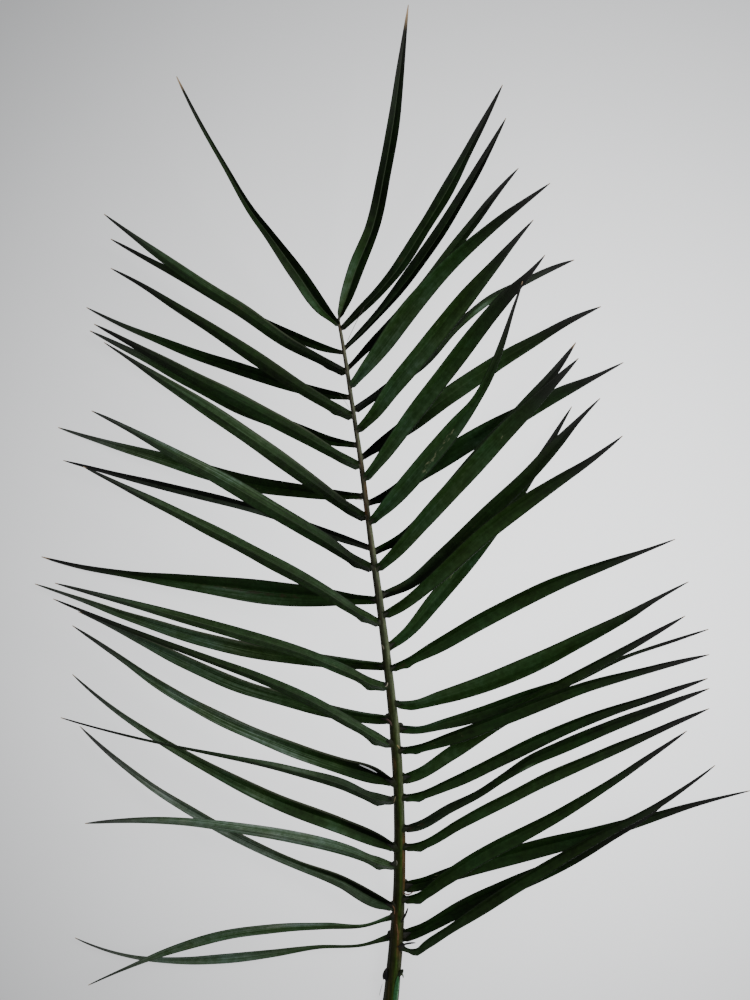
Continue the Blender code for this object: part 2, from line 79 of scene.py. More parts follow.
def shader_of(name, roughness, specular):
    """A new node material, and the functions that add its nodes and link its shader."""
    made = bpy.data.materials.new(name)
    made.use_nodes = True
    tree = made.node_tree
    shader = tree.nodes["Principled BSDF"]
    shader.inputs["Roughness"].default_value = roughness
    shader.inputs["Specular IOR Level"].default_value = specular

    def add(kind, inputs=(), **settings):
        node = tree.nodes.new("ShaderNode" + kind)
        for key, value in settings.items():
            setattr(node, key, value)
        for socket, value in dict(inputs).items():
            if isinstance(value, bpy.types.NodeSocket):
                tree.links.new(value, node.inputs[socket])
            else:
                node.inputs[socket].default_value = value
        return node

    def link(value, socket):
        tree.links.new(value, shader.inputs[socket])

    return made, add, link


def worked(operation, *values):
    """What a Math node makes of the values, in the material that is being made."""
    return add("Math", dict(enumerate(values)), operation=operation).outputs[0]


def sum_of(*values):
    """All the values added up."""
    total = values[0]
    for value in values[1:]:
        total = worked("ADD", total, value)
    return total


def product_of(a, b):
    """a times b."""
    return worked("MULTIPLY", a, b)


def range_of(value, least, most, low, high):
    """The value's least to most mapped to low to high, and held there beyond."""
    return add("MapRange", {0: value, 1: least, 2: most, 3: low, 4: high}).outputs[0]


def near_to(value, middle, inner, outer):
    """1 where the value is within inner of the middle, falling to 0 at outer."""
    return range_of(worked("ABSOLUTE", sum_of(value, -middle)), inner, outer, 1.0, 0.0)


def mixed(share, under, over, blend="MIX"):
    """Colour under with over laid on it by share."""
    node = add("Mix", {0: share, 6: under, 7: over}, data_type="RGBA", blend_type=blend)
    return node.outputs[2]


def ramp_of(value, rows):
    """The colour at value on a ramp of (place, colour) rows."""
    node = add("ValToRGB", {0: value})
    stops = node.color_ramp.elements
    for place_on, colour in rows[2:]:
        stops.new(place_on)
    for stop, (place_on, colour) in zip(stops, rows):
        stop.position, stop.color = place_on, (*colour, 1)
    return node.outputs[0]


def noise_on(place, scale, detail, roughness=0.5):
    """Smooth noise about 0.5 on a place, its grain about 1 / scale."""
    inputs = {"Vector": place, "Scale": scale, "Detail": detail, "Roughness": roughness}
    return add("TexNoise", inputs).outputs["Fac"]


def stretched(place, scale):
    """The place with each of its directions multiplied."""
    return add("Mapping", {"Vector": place, "Scale": scale}).outputs[0]


def bump_of(height, strength, distance):
    """The surface turned as by a relief of this height, in metres."""
    return add("Bump", {"Height": height, "Strength": strength, "Distance": distance}).outputs[0]


half = FLOOR_SIDE / 2
corners = [(-half, -half, 0), (half, -half, 0), (half, half, 0), (-half, half, 0)]
floor_mesh = bpy.data.meshes.new("surface")
floor_mesh.from_pydata(corners, [], [(0, 1, 2, 3)])
floor = bpy.data.objects.new("surface", floor_mesh)
bpy.context.scene.collection.objects.link(floor)

# Its glow, a painted pool of light, is GLOW_STRENGTH * exp(-(distance from POOL_MIDDLE / POOL_REACH) ** 2).
board, add, link = shader_of("pale_board", 0.9, 0.1)
place = add("TexCoord").outputs["Object"]
grain = range_of(noise_on(place, 30.0, 5.0, 0.6), 0.0, 1.0, 0.985, 1.015)
link(mixed(1.0, FLOOR_COLOUR, grain, "MULTIPLY"), "Base Color")
away = add("VectorMath", {0: place, 1: POOL_MIDDLE}, operation="DISTANCE").outputs["Value"]
squared = worked("POWER", worked("DIVIDE", away, POOL_REACH), 2.0)
pool = worked("EXPONENT", product_of(squared, -1.0))
link(range_of(pool, 0.0, 1.0, 0.0, GLOW_STRENGTH), "Emission Strength")
board.node_tree.nodes["Principled BSDF"].inputs["Emission Color"].default_value = GLOW_COLOUR
floor.data.materials.append(board)

# Light. The room is evenly bright all round, and one large soft lamp shines on the frond
# from the right and above.
ROOM_COLOUR, ROOM_STRENGTH = (0.97, 0.98, 1.0, 1), 0.42
LAMP_PLACE = np.array([0.95, 0.42, 0.95])
LAMP_ACROSS, LAMP_POWER = 0.7, 12

world = bpy.data.worlds.new("room")
world.use_nodes = True
world.node_tree.nodes["Background"].inputs["Color"].default_value = ROOM_COLOUR
world.node_tree.nodes["Background"].inputs["Strength"].default_value = ROOM_STRENGTH
bpy.context.scene.world = world

lamp_light = bpy.data.lights.new("lamp", "AREA")
lamp_light.shape = "DISK"
lamp_light.size = LAMP_ACROSS
lamp_light.energy = LAMP_POWER
lamp = bpy.data.objects.new("lamp", lamp_light)
lamp.location = LAMP_PLACE
aim = LAMP_PLACE / np.linalg.norm(LAMP_PLACE)
lamp.rotation_euler = (np.arccos(aim[2]), 0, np.arctan2(aim[1], aim[0]) + np.pi / 2)
bpy.context.scene.collection.objects.link(lamp)


# The rachis and its stalk: one tapering rod, cut square at the butt, ridged along its
# upper side and grooved where leaflets sit. It is olive green low down, rubbed to orange
# brown at the sides, and dries to grey brown towards the tip.

# Seen x, y and width in mm from the butt to the tip.
RACHIS = (
    (-2, -75, 12.0), (4, -35, 10.8), (9.3, 0, 9.6), (12.2, 30, 8.4), (14.2, 60, 7.4),
    (14.8, 92, 6.9), (14.3, 120, 6.5), (11.9, 160, 6.1), (7.6, 200, 5.2), (2.6, 240, 4.7),
    (-3, 280, 3.7), (-8.1, 320, 3.2), (-14.1, 360, 2.7), (-18.7, 390, 2.3), (-22, 408, 1.9),
)
BUTT_Y, TIP_Y = RACHIS[0][1], RACHIS[-1][1]
TIP_ROUNDING, TIP_CLOSED = 1.5, 0.96
RACHIS_DEPTH = 0.9
# The section's corners in half widths and half depths, round from its flat underside.
RACHIS_SECTION = (
    (-0.35, -0.85), (0.35, -0.85), (0.9, -0.45), (1.0, 0.1), (0.6, 0.66),
    (0.05, 1.0), (-0.6, 0.66), (-1.0, 0.1), (-0.9, -0.45),
)
UNDERSIDE, FLAT_BELOW, ROUNDINGS = 0.85, -0.6, 3
LIE_END_Y, LIFT_END_Y, UNDERSIDE_LEVEL = -30, 210, 26
RACHIS_STATIONS, RACHIS_AROUND = 420, 54
GROOVES, GROOVE_DEPTH, GROOVE_WANDER, WANDER_LENGTH = 13, 0.022, 0.9, 37
# Slow swells: size, length in mm along it, and how often it goes round.
SWELLS = ((0.02, 9, 2), (0.012, 3.7, -3))
CUT_RINGS, CUT_ROUGHNESS = 7, 0.5
# Orange brown patches: seen y, place from the left edge 0 to the right edge 1, reach
# along and across, strength.
RUST = (
    (312, 0.75, 9, 0.3, 0.6), (303, 0.80, 8, 0.25, 0.8), (293, 0.30, 6, 0.4, 1.0), (322, 0.6, 6, 0.5, 0.5),
    (228, 0.45, 7, 0.3, 0.5), (182, 0.35, 9, 0.3, 0.5), (142, 0.3, 7, 0.25, 0.5), (82, 0.88, 15, 0.17, 1.3),
    (100, 0.86, 8, 0.14, 0.6), (48, 0.36, 9, 0.16, 0.9), (37, 0.62, 8, 0.10, 1.1), (29, 0.75, 6, 0.15, 0.7),
    (60, 0.12, 9, 0.2, 0.6), (10, 0.28, 12, 0.2, 0.35), (-20, 0.35, 14, 0.3, 0.5), (-48, 0.6, 16, 0.3, 0.6),
    (350, 0.5, 6, 0.5, 0.35), (392, 0.4, 6, 0.6, 0.5), (404, 0.5, 4, 0.8, 0.6),
)
# Its colour by share of its length from the butt.
RACHIS_TONES = (
    (0.0, (0.030, 0.030, 0.008)), (0.14, (0.022, 0.028, 0.005)), (0.26, (0.022, 0.027, 0.005)),
    (0.36, (0.019, 0.031, 0.006)), (0.47, (0.031, 0.040, 0.012)), (0.57, (0.044, 0.057, 0.026)),
    (0.65, (0.058, 0.065, 0.039)), (0.76, (0.084, 0.078, 0.049)), (0.83, (0.105, 0.099, 0.070)),
    (1.0, (0.130, 0.122, 0.088)),
)
BLOTCH_BROWN = (0.034, 0.027, 0.014, 1)
# The ridge's green stripe, painted brighter as lit by the lamp, and a pale painted highlight.
RIDGE_AT, RIDGE_GREEN = 0.62, (0.028, 0.062, 0.007, 1)
PALE_HIGHLIGHT_AT, PALE_HIGHLIGHT = 0.84, (0.120, 0.145, 0.078, 1)
# The flanks' dark brown, which on the left is also painted shade away from the lamp.
FLANK_BROWN_AND_SHADE = (0.0150, 0.0150, 0.0060, 1)
RUST_BROWN = (0.085, 0.040, 0.014, 1)
PITH_TONES = ((0.0, (0.09, 0.06, 0.03)), (1.0, (0.42, 0.33, 0.18)))
SHARP_FROM = np.radians(60)                     # a face's edge that turns more stays sharp


def length_along(points):
    """How far along a path each of its points is, measured straight from one to the next."""
    steps = np.linalg.norm(np.diff(points, axis=0), axis=1)
    return np.concatenate([[0], np.cumsum(steps)])


def curve_through(points, shares):
    """A smooth curve's values at shares of its length, measured straight in x and y.

    Cubic pieces between neighbours, whose slopes are those of the parabola through each
    point and the two beside it.
    """
    points = np.array(points, float)
    knots = length_along(points[:, :2])
    slopes = np.gradient(points, knots, axis=0, edge_order=2)
    at = np.asarray(shares) * knots[-1]
    piece = np.clip(np.searchsorted(knots, at, side="right") - 1, 0, len(knots) - 2)
    span = np.diff(knots)[piece][:, None]
    u = (at - knots[piece])[:, None] / span
    start, end = points[piece], points[piece + 1]
    return (
        start * (1 + 2 * u) * (1 - u) ** 2
        + end * u**2 * (3 - 2 * u)
        + span * slopes[piece] * u * (1 - u) ** 2
        - span * slopes[piece + 1] * u**2 * (1 - u)
    )


def ease(share):
    """0 to 1 with level ends: share ** 2 * (3 - 2 * share)."""
    share = np.clip(share, 0, 1)
    return share * share * (3 - 2 * share)


def hump(value, middle, reach):
    """1 at the middle and near 0 two reaches off: exp(-((value - middle) / reach) ** 2)."""
    return np.exp(-(((value - middle) / reach) ** 2))


RACHIS_CURVE = curve_through(RACHIS, np.linspace(0, 1, 400)).T


def rachis_at(seen_y):
    """x, width and the height of the rachis' middle where it is seen at this y.

    Its underside lies on the surface to LIE_END_Y and rises to UNDERSIDE_LEVEL.
    """
    x, y, width = RACHIS_CURVE
    width = np.interp(seen_y, y, width)
    lift = UNDERSIDE_LEVEL * ease((seen_y - LIE_END_Y) / (LIFT_END_Y - LIE_END_Y))
    return np.interp(seen_y, y, x), width, lift + UNDERSIDE * RACHIS_DEPTH * width / 2


def share_along(seen_y):
    """0 at the butt to 1 at the tip of the rachis."""
    return (seen_y - BUTT_Y) / (TIP_Y - BUTT_Y)


def grid_faces(rows, columns, first=0):
    """Quads over closed rings of points and a flat face on each end. They face out where
    the rings run away from the viewer and their points run anticlockwise."""
    row = first + np.arange(rows - 1)[:, None] * columns
    a = row + np.arange(columns)
    b = row + (np.arange(columns) + 1) % columns
    last = first + (rows - 1) * columns
    ends = [tuple(range(first, first + columns)), tuple(range(last + columns - 1, last - 1, -1))]
    return np.stack([a, a + columns, b + columns, b], axis=-1).reshape(-1, 4), ends


def put_mesh(name, points, faces, values, finish, slot):
    quads, ends = faces
    mesh = bpy.data.meshes.new(name)
    mesh.from_pydata((points * MM).tolist(), [], [*quads.tolist(), *ends])
    for key, value in values.items():
        layer = mesh.attributes.new(key, "FLOAT_COLOR", "POINT")
        layer.data.foreach_set("color", np.ascontiguousarray(value, np.float32).ravel())
    mesh.shade_smooth()
    mesh.set_sharp_from_angle(angle=SHARP_FROM)
    mesh.materials.append(finish)
    piece = bpy.data.objects.new(name, mesh)
    bpy.context.scene.collection.objects.link(piece)
    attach(piece, "root")
    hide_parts("frond")


def rachis_section():
    """The section as points evenly along its outline, its corners rounded by mixing each
    point with its neighbours' mean, then stretched to reach 1 each way."""
    corners = np.array(RACHIS_SECTION + RACHIS_SECTION[:1])
    knots = length_along(corners)
    at = np.linspace(0, 1, RACHIS_AROUND, endpoint=False) * knots[-1]
    section = np.stack([np.interp(at, knots, corners[:, k]) for k in (0, 1)], axis=1)
    for _ in range(ROUNDINGS):
        section = (np.roll(section, 1, 0) + 2 * section + np.roll(section, -1, 0)) / 4
    return section / np.abs(section).max(axis=0)


def make_rachis(finish):
    """Rings along the rachis' curve: the section scaled by 1 + grooves + slow swells, all
    sines round and along it but on its flat underside. Rings run in over the cut butt.
    """
    y = np.linspace(BUTT_Y, TIP_Y + TIP_ROUNDING, RACHIS_STATIONS)
    x, width, middle = rachis_at(y)
    over = np.clip((y - TIP_Y) / TIP_ROUNDING, 0, 1)
    width = width * np.sqrt(1 - TIP_CLOSED * over**2)
    section = rachis_section()
    turn = np.linspace(0, 2 * np.pi, RACHIS_AROUND, endpoint=False)
    length = y[:, None]
    wander = GROOVE_WANDER * np.sin(length / WANDER_LENGTH)
    groove = np.cos(GROOVES * turn + wander) * GROOVE_DEPTH
    swell = sum(size * np.sin(length / run + times * turn) for size, run, times in SWELLS)
    lying = section[:, 1] < FLAT_BELOW
    scale = 1 + np.where(lying, 0, groove + swell)
    place, shrink = true_place(np.stack([x, y], axis=1), middle)
    rings = np.empty((RACHIS_STATIONS, RACHIS_AROUND, 3))
    rings[..., 0] = place[:, :1] + (width * shrink / 2)[:, None] * scale * section[:, 0]
    rings[..., 1] = place[:, 1:]
    rings[..., 2] = middle[:, None] + RACHIS_DEPTH * (width / 2)[:, None] * scale * section[:, 1]
    inward = np.linspace(0, 1, CUT_RINGS + 1)[1:-1, None, None]
    cut = rings[0] + (rings[0].mean(axis=0) - rings[0]) * inward
    cut[..., 1] += CUT_ROUGHNESS * np.sin(inward[..., 0] * 4) * np.cos(3 * turn)
    # The look is the share along and across, 1 on the cut, and how rusty it is.
    side = 0.5 + 0.5 * section[:, 0]
    look = np.zeros((len(cut) + len(rings), RACHIS_AROUND, 4))
    look[len(cut):, :, 0] = share_along(length)
    look[..., 1] = side
    look[:len(cut), :, 2] = 1
    look[len(cut):, :, 3] = sum(
        strength * hump(length, at, reach) * hump(side, place_across, broad)
        for at, place_across, reach, broad, strength in RUST
    )
    rings = np.concatenate([cut[::-1], rings]).reshape(-1, 3)
    put_mesh("rachis", rings, grid_faces(*look.shape[:2]), {"look": look}, finish, "stalk")


rachis_skin, add, link = shader_of("rachis", 0.5, 0.07)
look = add("Attribute", attribute_name="look")
along, across, cut = add("SeparateColor", {0: look.outputs["Color"]}).outputs
body = add("TexCoord").outputs["Object"]
fibre = noise_on(stretched(body, (560, 32, 560)), 1.0, 5.0, 0.6)
blotch = noise_on(body, 90.0, 4.0)
speckle = noise_on(body, 420.0, 3.0)
colour = ramp_of(sum_of(along, range_of(blotch, 0.3, 0.7, -0.05, 0.05)), RACHIS_TONES)
colour = mixed(range_of(blotch, 0.52, 0.68, 0.0, 0.6), colour, BLOTCH_BROWN)
# A brighter green stripe runs along the ridge low down, its green painted brighter where the lamp
# lights the ridge's right face, and a painted highlight, a pale stripe, right of it higher up.
ridge = product_of(near_to(across, RIDGE_AT, 0.04, 0.19), range_of(along, 0.40, 0.54, 0.75, 0.0))
colour = mixed(ridge, colour, RIDGE_GREEN)
pale = product_of(near_to(across, PALE_HIGHLIGHT_AT, 0.06, 0.27), range_of(along, 0.33, 0.46, 0.1, 0.62))
colour = mixed(pale, colour, PALE_HIGHLIGHT)
# The flanks are dark brown, the left one most, and the left one is also painted shade on
# the side away from the lamp. The right edge is darker, most low down.
left = range_of(across, 0.14, 0.58, 0.85, 0.0)
right = product_of(range_of(across, 0.88, 1.0, 0.0, 0.6), range_of(along, 0.24, 0.38, 1.0, 0.2))
colour = mixed(sum_of(left, right), colour, FLANK_BROWN_AND_SHADE)
rust = sum_of(look.outputs["Alpha"], range_of(fibre, 0.3, 0.7, -0.3, 0.3))
colour = mixed(range_of(rust, 0.3, 1.0, 0.0, 0.8), colour, RUST_BROWN)
shade = product_of(range_of(fibre, 0.3, 0.7, 0.54, 1.46), range_of(speckle, 0.3, 0.7, 0.8, 1.2))
colour = mixed(1.0, colour, shade, "MULTIPLY")
pith_grain = add("TexVoronoi", {"Vector": body, "Scale": 1400.0}).outputs["Distance"]
link(mixed(cut, colour, ramp_of(pith_grain, PITH_TONES)), "Base Color")
link(bump_of(fibre, 0.5, 0.0006), "Normal")
make_rachis(rachis_skin)


# The leaflets: straps of leaf folded along their midrib, as troughs or as ridges, each
# held by a tight dark joint at the rachis and drawn out to a needle. The front row
# rises towards the eye and the rear row hangs to the surface.
FRONT, REAR = 1, -1
# Of each, the side, 1 right and -1 left; the row it stands in; its fold, 1 a trough and -1
# a ridge; the lower half's share of its width; its tip's height; then seen x, y and width
# from the rachis out, all in mm. Leaflets are numbered from 1 in this order.
LEAFLETS = (
    # The pair at the tip of the rachis.
    (-1, FRONT, 1, 0.5, 40, (-23, 406, 2.6), (-31, 414, 7.5), (-46, 435, 9.0), (-65, 461, 5.6),
     (-72, 470, 4.7), (-90, 500, 2.7), (-107, 530, 2.0), (-119, 554, 1.0)),
    (1, FRONT, 1, 0.5, 46, (-21.5, 409, 2.4), (-17, 422, 7.4), (-11.5, 438, 9.2), (-1.5, 463, 8.0),
     (5.5, 495, 7.3), (11, 526, 6.6), (16, 565, 3.6), (20, 597, 0.9)),
    # Right side, from the tip of the rachis down.
    (1, FRONT, 1, 0.5, 36, (-19.5, 403, 2.4), (-10, 412.5, 4.5), (0.6, 423, 6.0), (10.5, 434.5, 7.0),
     (30, 464, 6.9), (40, 480, 7.2), (60, 517, 4.2), (76.5, 549, 0.9)),
    (1, REAR, 1, 0.4, 26, (-17.5, 391.5, 2.4), (-8.5, 400.5, 3.8), (0, 409.5, 4.6), (20, 434, 6.8),
     (40, 462.5, 6.4), (60, 495.5, 4.8), (78.5, 529, 0.9)),
    (1, REAR, 1, 0.5, 10, (-15, 380, 2.6), (0.6, 396.2, 5.0), (21.5, 418, 5.8), (41.2, 443.2, 5.8),
     (60, 467.5, 5.0), (70, 480.5, 3.5), (86, 499, 0.9)),
    (1, FRONT, 1, 0.65, 48, (-13.5, 369, 3.0), (-5, 379.5, 6.8), (5, 392.5, 9.8), (17.5, 409.5, 10.2),
     (25, 419, 9.6), (45, 441, 7.6), (65, 459, 5.6), (85, 475, 3.2), (105, 490, 0.9)),
    (1, REAR, -1, 0.5, 0, (-11, 355, 3.0), (7, 367, 5.6), (27, 381, 6.0), (50, 405, 4.6),
     (70, 421, 4.8), (90, 431, 4.0), (100, 436, 3.4), (119.5, 444, 0.9)),
    (1, FRONT, 1, 0.65, 58, (-9.5, 342, 3.4), (0, 352, 6.8), (10, 366, 9.4), (30, 390, 10.2),
     (50, 415, 9.8), (70, 439, 5.8), (80, 451, 3.5), (95, 468, 0.9)),
    (1, REAR, 1, 0.5, 5, (-7, 326, 3.2), (3, 333, 6.4), (15, 341, 9.0), (45, 363, 10.2),
     (75, 383.5, 8.6), (100, 398, 5.2), (120, 409, 3.0), (135.5, 416, 0.9)),
    (1, FRONT, 1, 0.65, 54, (-5.5, 313, 3.4), (7, 329, 7.4), (22, 350, 9.6), (40, 373, 10.4),
     (60, 399, 9.4), (80, 423, 6.6), (90, 433, 4.0), (102, 447, 0.9)),
    (1, REAR, 1, 0.5, 0, (-3, 298.5, 3.2), (8, 303, 6.2), (30, 318, 9.6), (60, 337, 10.0),
     (90, 352.5, 8.2), (110, 363.5, 6.2), (130, 373, 2.8), (149, 382.5, 0.9)),
    (1, FRONT, 1, 0.6, 62, (-1.5, 287.5, 3.6), (8, 297, 8.4), (28, 320, 10.4), (48, 344, 8.4),
     (60, 359, 4.6), (68, 373, 4.4), (75.5, 392, 3.4), (83, 415, 1.8), (88.5, 431, 0.9)),
    (1, REAR, 1, 0.5, 16, (1, 269.5, 3.2), (15.3, 276.8, 5.8), (30.8, 290.2, 7.8), (60, 323, 9.0),
     (85, 351, 7.4), (105, 374, 4.4), (120.5, 394.5, 0.9)),
    (1, FRONT, 1, 0.65, 46, (2, 259, 3.4), (12, 268, 6.8), (30, 288.5, 9.6), (60, 321, 10.0),
     (80, 343, 9.6), (100, 363, 5.6), (122, 385, 0.9)),
    (1, REAR, 1, 0.5, 20, (4.5, 243, 3.2), (20, 249.5, 6.2), (40, 266, 8.0), (70, 294.5, 8.0),
     (90, 313, 7.4), (110, 335, 5.6), (120, 346, 2.9), (135, 361, 0.9)),
    (1, FRONT, 1, 0.65, 46, (6, 231, 3.4), (15, 236, 5.6), (35, 252, 8.2), (65, 279, 8.7),
     (90, 298, 8.3), (110, 311.5, 5.5), (130, 324.5, 2.6), (148.5, 338.5, 0.9)),
    (1, REAR, 1, 0.5, 4, (9, 212.5, 3.4), (16, 217.5, 5.6), (35, 239, 9.4), (55, 263, 9.4),
     (75, 289, 8.2), (95, 318, 6.2), (110, 343, 2.6), (118, 356, 0.9)),
    (1, FRONT, 1, 0.65, 36, (11.5, 199.5, 3.2), (20, 203, 4.6), (35, 211, 8.4), (60, 225.3, 9.3),
     (90, 241.3, 8.6), (120, 254.8, 6.7), (140, 262, 4.6), (160, 269, 2.2), (180, 276.5, 0.9)),
    (1, FRONT, 1, 0.35, 32, (13, 177.8, 3.0), (20, 177.3, 4.4), (40, 182, 8.0), (60, 188.3, 9.4),
     (90, 200.4, 9.4), (120, 215, 7.4), (150, 230.3, 4.5), (170, 241.5, 2.0), (188, 251, 0.9)),
    (1, REAR, 1, 0.6, 10, (15, 163, 3.0), (25, 162.2, 4.0), (42, 166, 6.4), (62, 171.5, 8.2),
     (90, 181.5, 8.4), (120, 193, 5.0), (150, 206, 2.6), (180, 216, 2.0), (200, 222.5, 0.9)),
    (1, FRONT, 1, 0.65, 42, (17, 150, 3.0), (25, 151, 4.4), (45, 157, 7.6), (70, 166.5, 7.6),
     (100, 178.5, 6.8), (130, 189.3, 5.2), (160, 197.5, 3.6), (200.5, 207.3, 0.9)),
    (1, REAR, 1, 0.65, 24, (17, 133, 3.6), (25, 135.5, 6.0), (45, 148, 8.8), (75, 168, 8.2),
     (105, 186, 6.6), (135, 202.5, 4.8), (160, 216, 3.2), (186, 230.5, 0.9)),
    (1, FRONT, 1, 0.65, 16, (17, 121.5, 3.0), (25, 122.5, 4.2), (45, 130, 6.6), (75, 144.5, 6.8),
     (105, 159, 6.2), (135, 171.5, 4.8), (165, 181.5, 3.0), (199.5, 193, 0.9)),
    (1, FRONT, 1, 0.5, 28, (18, 103, 3.2), (25, 104.5, 4.8), (45, 115.5, 5.5), (62, 124, 4.4),
     (77, 134, 4.0), (92, 143.5, 5.8), (112, 152.5, 6.6), (142, 165, 5.6), (172, 176.5, 3.4),
     (200.5, 187, 0.9)),
    (1, FRONT, 1, 0.65, 16, (18.5, 92, 3.0), (25, 92.7, 4.2), (50, 105.7, 6.7), (80, 121.2, 6.8),
     (110, 136.4, 6.4), (140, 149.5, 5.2), (170, 162.5, 3.4), (200.5, 175, 0.9)),
    (1, REAR, 1, 0.5, 0, (17.5, 68.5, 4.4), (25, 69.5, 6.0), (42, 75, 8.4), (65, 82.5, 10.0),
     (95, 91, 10.4), (125, 98.5, 8.8), (152, 106, 6.4), (190, 117.2, 2.7), (225, 125.7, 0.9)),
    (1, FRONT, 1, 0.6, 30, (17, 60.5, 3.2), (24, 61.5, 4.8), (42, 73, 8.2), (62, 86, 8.6),
     (92, 102, 7.4), (122, 119, 5.4), (152, 138, 3.2), (187, 161.5, 0.9)),
    (1, REAR, 1, 0.5, 14, (17, 39, 4.4), (25, 41.5, 6.0), (50, 55, 9.0), (80, 69, 9.2),
     (110, 81.5, 7.4), (140, 98, 4.6), (160, 109, 2.6), (175, 119, 0.9)),
    (1, FRONT, 1, 0.6, 34, (16.2, 31.6, 1.8), (20.6, 29.8, 1.5), (25.2, 29.6, 3.0), (30.5, 33.4, 5.0),
     (45, 43, 5.8), (75, 62.5, 8.0), (100, 78.5, 7.8), (135, 99, 5.8), (170, 117.5, 3.4), (204, 141, 0.9)),
    # Left side, from the tip of the rachis down.
    (-1, REAR, 1, 0.5, 12, (-20, 388.5, 2.6), (-30, 391, 4.2), (-50, 398.5, 5.4), (-80, 412.5, 5.6),
     (-110, 430, 4.6), (-140, 446.3, 2.5), (-158.5, 456.5, 0.9)),
    (-1, FRONT, -1, 0.5, 42, (-17.5, 376.5, 3.0), (-30, 382.8, 5.2), (-50, 393.2, 6.6),
     (-80, 413.8, 7.6), (-105, 430, 6.5), (-130, 447.5, 4.3), (-150, 462, 1.8), (-162.5, 471.5, 0.9)),
    (-1, REAR, 1, 0.5, 0, (-16, 361.5, 3.0), (-25, 362.8, 4.8), (-45, 367, 6.6), (-75, 376.5, 7.0),
     (-105, 386.2, 5.6), (-135, 398, 3.6), (-155, 406.5, 2.2), (-173, 415.5, 0.9)),
    (-1, FRONT, -1, 0.5, 48, (-13.5, 350, 3.2), (-25, 355.8, 6.0), (-45, 367.6, 7.8),
     (-75, 387.5, 7.8), (-100, 404, 5.6), (-120, 416.5, 4.2), (-140, 429, 2.2), (-158.5, 439, 0.9)),
    (-1, REAR, 1, 0.5, 6, (-12.5, 333, 3.0), (-25, 335, 5.2), (-45, 341.7, 7.0), (-80, 355, 7.0),
     (-110, 370, 6.0), (-140, 386, 3.8), (-171, 401.5, 0.9)),
    (-1, FRONT, -1, 0.5, 52, (-10, 320.5, 3.4), (-20, 325.5, 5.6), (-40, 337, 8.3), (-80, 358.5, 8.4),
     (-110, 374.2, 6.8), (-140, 390.5, 3.8), (-168.5, 405.5, 0.9)),
    (-1, REAR, 1, 0.5, 0, (-8, 302.3, 3.0), (-25, 303.3, 6.0), (-45, 305.5, 7.8), (-80, 311, 8.0),
     (-110, 319.5, 7.4), (-130, 325.5, 6.0), (-160, 334, 2.8), (-190, 343.5, 0.9)),
    (-1, FRONT, -1, 0.5, 58, (-6, 289.8, 3.4), (-15, 294.7, 5.4), (-35, 308.8, 8.4),
     (-75, 337.3, 8.4), (-105, 357.5, 7.0), (-130, 373.5, 3.8), (-150, 386.5, 1.4),
     (-162.5, 394.5, 0.9)),
    (-1, REAR, 1, 0.5, 8, (-5, 271.8, 3.0), (-20, 277, 4.6), (-42, 285, 5.0), (-75, 295.5, 5.0),
     (-105, 303, 5.0), (-145, 312.8, 3.6), (-187, 323.7, 0.9)),
    (-1, FRONT, -1, 0.5, 54, (-3.5, 260, 3.4), (-10, 262.7, 4.6), (-30, 275.5, 8.0),
     (-60, 293.5, 8.5), (-90, 311.3, 8.0), (-120, 327.5, 5.6), (-150, 343.8, 2.2),
     (-170, 353.5, 0.9)),
    (-1, REAR, 1, 0.5, 0, (0.5, 240, 3.2), (-8, 240.3, 5.0), (-30, 242, 10.6), (-60, 244.3, 13.6),
     (-90, 247.8, 11.2), (-120, 251.7, 7.4), (-150, 255.8, 3.2), (-180, 260.8, 1.8), (-200, 266, 0.9)),
    (-1, FRONT, -1, 0.5, 52, (2.5, 226.5, 3.4), (-10, 232.3, 5.6), (-30, 245, 7.6), (-70, 267, 7.6),
     (-110, 287.8, 6.0), (-150, 307.7, 3.0), (-175, 320, 0.9)),
    (-1, REAR, 1, 0.5, 3, (4.5, 200.5, 3.2), (-5, 201, 4.8), (-27, 203.3, 7.4), (-55, 206.8, 8.6),
     (-90, 213.4, 8.6), (-120, 221.5, 7.0), (-150, 231.2, 4.8), (-180, 241.7, 2.4),
     (-204, 249.7, 0.9)),
    (-1, FRONT, -1, 0.5, 46, (7, 188.5, 3.4), (0, 189.5, 4.4), (-15, 196.2, 6.6), (-40, 206.7, 6.8),
     (-80, 219.4, 6.8), (-120, 230.7, 5.4), (-160, 241.6, 3.0), (-192, 250.2, 0.9)),
    (-1, REAR, 1, 0.5, 6, (8.5, 168.5, 3.2), (0, 169, 5.0), (-20, 172, 7.6), (-50, 179.8, 8.4),
     (-80, 188.7, 8.6), (-110, 201.5, 8.2), (-140, 215.7, 5.2), (-160, 225.5, 3.0), (-178, 233, 0.9)),
    (-1, FRONT, -1, 0.5, 44, (9.5, 154, 3.4), (2, 157, 4.6), (-10, 163.5, 6.4), (-40, 180.3, 6.8),
     (-70, 193.5, 5.2), (-100, 204.5, 3.8), (-140, 219.5, 2.6), (-193, 240.7, 0.9)),
    (-1, FRONT, 1, 0.5, 20, (10, 131, 4.0), (0, 135, 9.4), (-20, 140.8, 9.4), (-60, 155, 7.6),
     (-100, 173, 6.2), (-130, 190, 4.2), (-155, 207.2, 2.4), (-181.5, 224.7, 0.9)),
    (-1, FRONT, -1, 0.5, 40, (10, 120.5, 3.4), (0, 121.5, 5.0), (-20, 129.5, 6.6), (-50, 138, 5.2),
     (-80, 144.5, 3.4), (-110, 150.3, 1.8), (-150, 159, 1.4), (-188.5, 169.5, 0.9)),
    (-1, FRONT, 1, 0.5, 14, (10, 92.5, 4.0), (2, 96, 7.4), (-20, 105, 9.6), (-60, 120.3, 8.4),
     (-100, 140, 5.6), (-130, 157.2, 3.7), (-155, 173.5, 2.0), (-181.5, 195.5, 0.9)),
